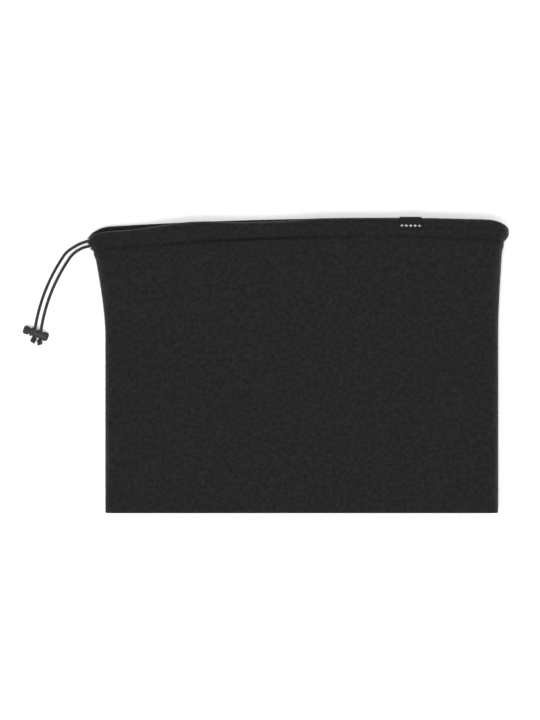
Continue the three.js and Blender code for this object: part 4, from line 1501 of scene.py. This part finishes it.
@dataclass
class CordLock:
    """The two-hole cord lock: barrel, plunger, spring and their moulded details."""

    angle: float = 172.8
    tilt: float = 12.0
    barrel_radius: float = 3.05 * MM
    open_edge: float = 2.7 * MM
    button_radius: float = 2.85 * MM
    button_gap: float = 1.3 * MM
    button_length: float = 3.9 * MM
    leg_spacing: float = 4.2 * MM
    spring_from: float = 2.6 * MM
    spring_room: float = 1.9 * MM
    spring_radius: float = 1.55 * MM
    spring_wire: float = 0.35 * MM
    spring_turns: float = 2.5
    press: float = 1 * MM
    cord: Drawcord = field(default_factory=Drawcord)

    @property
    def hole_spacing(self) -> float:
        """The distance between the two cord holes along the barrel."""
        return self.leg_spacing / math.cos(math.radians(self.tilt))

    def place(self, x: float, y: float) -> np.ndarray:
        """A point in the lock's own frame, whose x runs along the barrel towards the closed end."""
        middle, along, across = self.axes()
        return middle + x * along + y * across

    def axes(self) -> tuple[np.ndarray, np.ndarray, np.ndarray]:
        """The lock's middle, the direction along its barrel and the one across it."""
        middle = self.cord.on_arc([(self.angle, 0, 0)])[0]
        turn = math.radians(self.angle - 180 - self.tilt)
        cos, sin = math.cos(turn), math.sin(turn)
        return middle, np.array([cos, sin, 0]), np.array([-sin, cos, 0])

    def turned(self, profile: np.ndarray, sides: int = 48) -> np.ndarray:
        """A surface of revolution about the barrel: rows along the (along, radius) profile, columns round."""
        middle, along, across = self.axes()
        angle = np.linspace(0, 2 * np.pi, sides, endpoint=False)
        ring = np.cos(angle)[:, None] * across + np.sin(angle)[:, None] * np.array([0, 0, 1.0])
        return middle + profile[:, 0][:, None, None] * along + profile[:, 1][:, None, None] * ring

    def bead(self, at: float, radius: float, wide: float, high: float) -> np.ndarray:
        """The closed profile of a low rounded ring: a flattened circle half sunk in the surface."""
        a = np.linspace(0, 2 * np.pi, 14, endpoint=False)
        return np.stack([at + wide * np.cos(a), radius + high * np.sin(a)], axis=1)

    def build_shell(self, name: str, node: str, body: Body, edge: float) -> bpy.types.Object:
        """A moulded part from the CAD node's own shape, its corners joined up and its edges rounded.

        The cross holes and slots make this shape one that a grid can't follow, so it is a merged copy.

        Args:
            name: the piece's name.
            node: the CAD node.
            body: what it rides on.
            edge: the radius of the rounded edges.

        Returns:
            The new piece.
        """
        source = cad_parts[node].data
        source.calc_loop_triangles()
        at = np.zeros(len(source.vertices) * 3, np.float32)
        source.vertices.foreach_get("co", at)
        corners = np.zeros(len(source.loop_triangles) * 3, np.int32)
        source.loop_triangles.foreach_get("vertices", corners)
        points, index = np.unique(np.round(at.reshape(-1, 3), 6), axis=0, return_inverse=True)
        faces = index.ravel()[corners].reshape(-1, 3)
        whole = (faces[:, 0] != faces[:, 1]) & (faces[:, 1] != faces[:, 2]) & (faces[:, 2] != faces[:, 0])
        faces = faces[whole]
        shell = Patch(points, np.concatenate([faces, faces[:, :1]], axis=1))
        made = piece(name, shell, body, NYLON)
        bevel = made.modifiers.new("rounded_edges", "BEVEL")
        bevel.width = edge
        bevel.segments = 2
        bevel.limit_method = "ANGLE"
        bevel.angle_limit = math.radians(38)
        bevel.harden_normals = True
        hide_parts(node)
        return made

    def build_spring(self) -> bpy.types.Object:
        """The compression spring between the plunger's blade and the closed end."""
        _, along, across = self.axes()
        room = self.spring_room
        centre = self.place(self.hole_spacing / 2 + self.spring_from + room / 2, 0)
        t = np.linspace(0, 1, int(40 * self.spring_turns))
        phase = 2 * np.pi * self.spring_turns * t
        ring = np.cos(phase)[:, None] * across + np.sin(phase)[:, None] * np.array([0, 0, 1.0])
        line = centre + ((t - 0.5) * (room - self.spring_wire))[:, None] * along + self.spring_radius * ring
        coil = rod(line, rounded_ends(line, self.spring_wire / 2), 10)
        made = piece("lock_coil", coil, Body.LOCK, STEEL)
        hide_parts("lock_spring")
        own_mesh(made)
        return made

    def build_grips(self) -> list[bpy.types.Object]:
        """The three low grip rings round the button."""
        underside = -self.hole_spacing / 2 - self.open_edge - self.button_gap
        made = []
        seat = self.button_radius - 0.04 * MM
        for number, share in enumerate((0.18, 0.38, 0.58), 1):
            bead = self.bead(underside - share * self.button_length, seat, 0.26 * MM, 0.16 * MM)
            rings = grid(self.turned(bead), wrap_rows=True, wrap_columns=True)
            made.append(piece(f"grip_ring_{number}", rings, Body.BUTTON, NYLON))
        return made


# ---- Studio ------------------------------------------------------------------------


@dataclass
class Studio:
    """The floor, the soft lights and the camera straight above."""

    aim: tuple[float, float] = (-18.3 * MM, 3.2 * MM)
    view_height: float = 489.6 * MM
    distance: float = 4.0
    sensor: float = 36.0
    floor_size: float = 8.0
    world: float = 1.25

    def build_camera(self) -> bpy.types.Object:
        """A long lens straight above, with the casing towards the top of the picture."""
        data = bpy.data.cameras.new("camera")
        data.sensor_width = self.sensor
        data.lens = self.sensor * self.distance / self.view_height
        data.clip_end = 50
        camera = bpy.data.objects.new("camera", data)
        camera.location = (*self.aim, self.distance)
        bpy.context.scene.collection.objects.link(camera)
        bpy.context.scene.camera = camera
        return camera

    def build_light(self, name: str, place: tuple[float, float, float], size: float, power: float) -> None:
        """A square soft light aimed at the middle of the object."""
        data = bpy.data.lights.new(name, "AREA")
        data.size = size
        data.energy = power
        light = bpy.data.objects.new(name, data)
        light.location = place
        away = np.array(place) - np.array([*self.aim, 0])
        light.rotation_euler = (
            math.atan2(math.hypot(away[0], away[1]), away[2]),
            0,
            math.atan2(away[0], -away[1]),
        )
        bpy.context.scene.collection.objects.link(light)

    def build(self) -> None:
        """Floor, lights, surroundings and the plain view transform."""
        half = self.floor_size / 2
        mesh = bpy.data.meshes.new("floor")
        corners = [(-half, -half, 0), (half, -half, 0), (half, half, 0), (-half, half, 0)]
        mesh.from_pydata(corners, [], [(0, 1, 2, 3)])
        mesh.materials.append(FLOOR.material())
        floor = bpy.data.objects.new("floor", mesh)
        floor.location.z = -0.1 * MM
        bpy.context.scene.collection.objects.link(floor)
        world = bpy.data.worlds.new("studio")
        world.use_nodes = True
        world.node_tree.nodes["Background"].inputs["Color"].default_value = (1, 1, 1, 1)
        world.node_tree.nodes["Background"].inputs["Strength"].default_value = self.world
        bpy.context.scene.world = world
        bpy.context.scene.view_settings.view_transform = "Standard"
        self.build_light("key", (-0.4, -0.9, 2.1), 1.0, 34)
        self.build_light("fill", (0.9, 1.4, 1.9), 1.6, 6)


def main() -> None:
    """Builds the scene: camera and cords first, then the fleece, the labels, the lock and the studio."""
    logging.basicConfig(level=logging.INFO, format="%(name)s: %(message)s")
    studio = Studio()
    studio.build_camera()

    cord = Drawcord()
    lock = CordLock(cord=cord)
    outer, outer_line = cord.build_leg("cord_end_outer", "drawcord_leg_outer", cord.outer_route(lock))
    inner, inner_line = cord.build_leg("cord_end_inner", "drawcord_leg_inner", cord.inner_route(lock))
    at_outer, at_inner = cord.knot_middle(lock, -1), cord.knot_middle(lock, 1)
    outer_knot = cord.build_knot("overhand_knot_outer", "knot_outer", at_outer, outer_line, 20)
    inner_knot = cord.build_knot("overhand_knot_inner", "knot_inner", at_inner, inner_line, 200)
    cord.build_in_casing()

    barrel = lock.build_shell("barrel_shell", "lock_barrel", Body.LOCK, 0.16 * MM)
    plunger = lock.build_shell("push_button", "lock_plunger", Body.BUTTON, 0.14 * MM)
    spring = lock.build_spring()
    grips = lock.build_grips()

    fleece = FleeceTube()
    panel = fleece.build_panel()
    pile = fleece.build_pile()
    ridge = fleece.build_ridge()
    overlock = fleece.build_overlock()

    stitches = CasingStitches()
    wall = stitches.wall
    needle = stitches.build_row("needle_stitches", "casing_needle_thread", 0, 1)
    bobbin_depth = 2 * wall.fleece + wall.ply_gap
    bobbin = stitches.build_row("bobbin_stitches", "casing_bobbin_thread", bobbin_depth, -1)
    upper = stitches.build_bartack("bartack_above_slit", "bartack_upper", stitches.upper)
    lower = stitches.build_bartack("bartack_below_slit", "bartack_lower", stitches.lower)

    labels = Labels()
    woven = labels.build_woven()
    left = labels.build_stitches(
        "label_stitches_left", "label_stitch_left", labels.middle - labels.width / 2 + labels.stitch_inset
    )
    right = labels.build_stitches(
        "label_stitches_right", "label_stitch_right", labels.middle + labels.width / 2 - labels.stitch_inset
    )
    care = labels.build_care()

    studio.build()


if __name__ == "__main__":
    main()
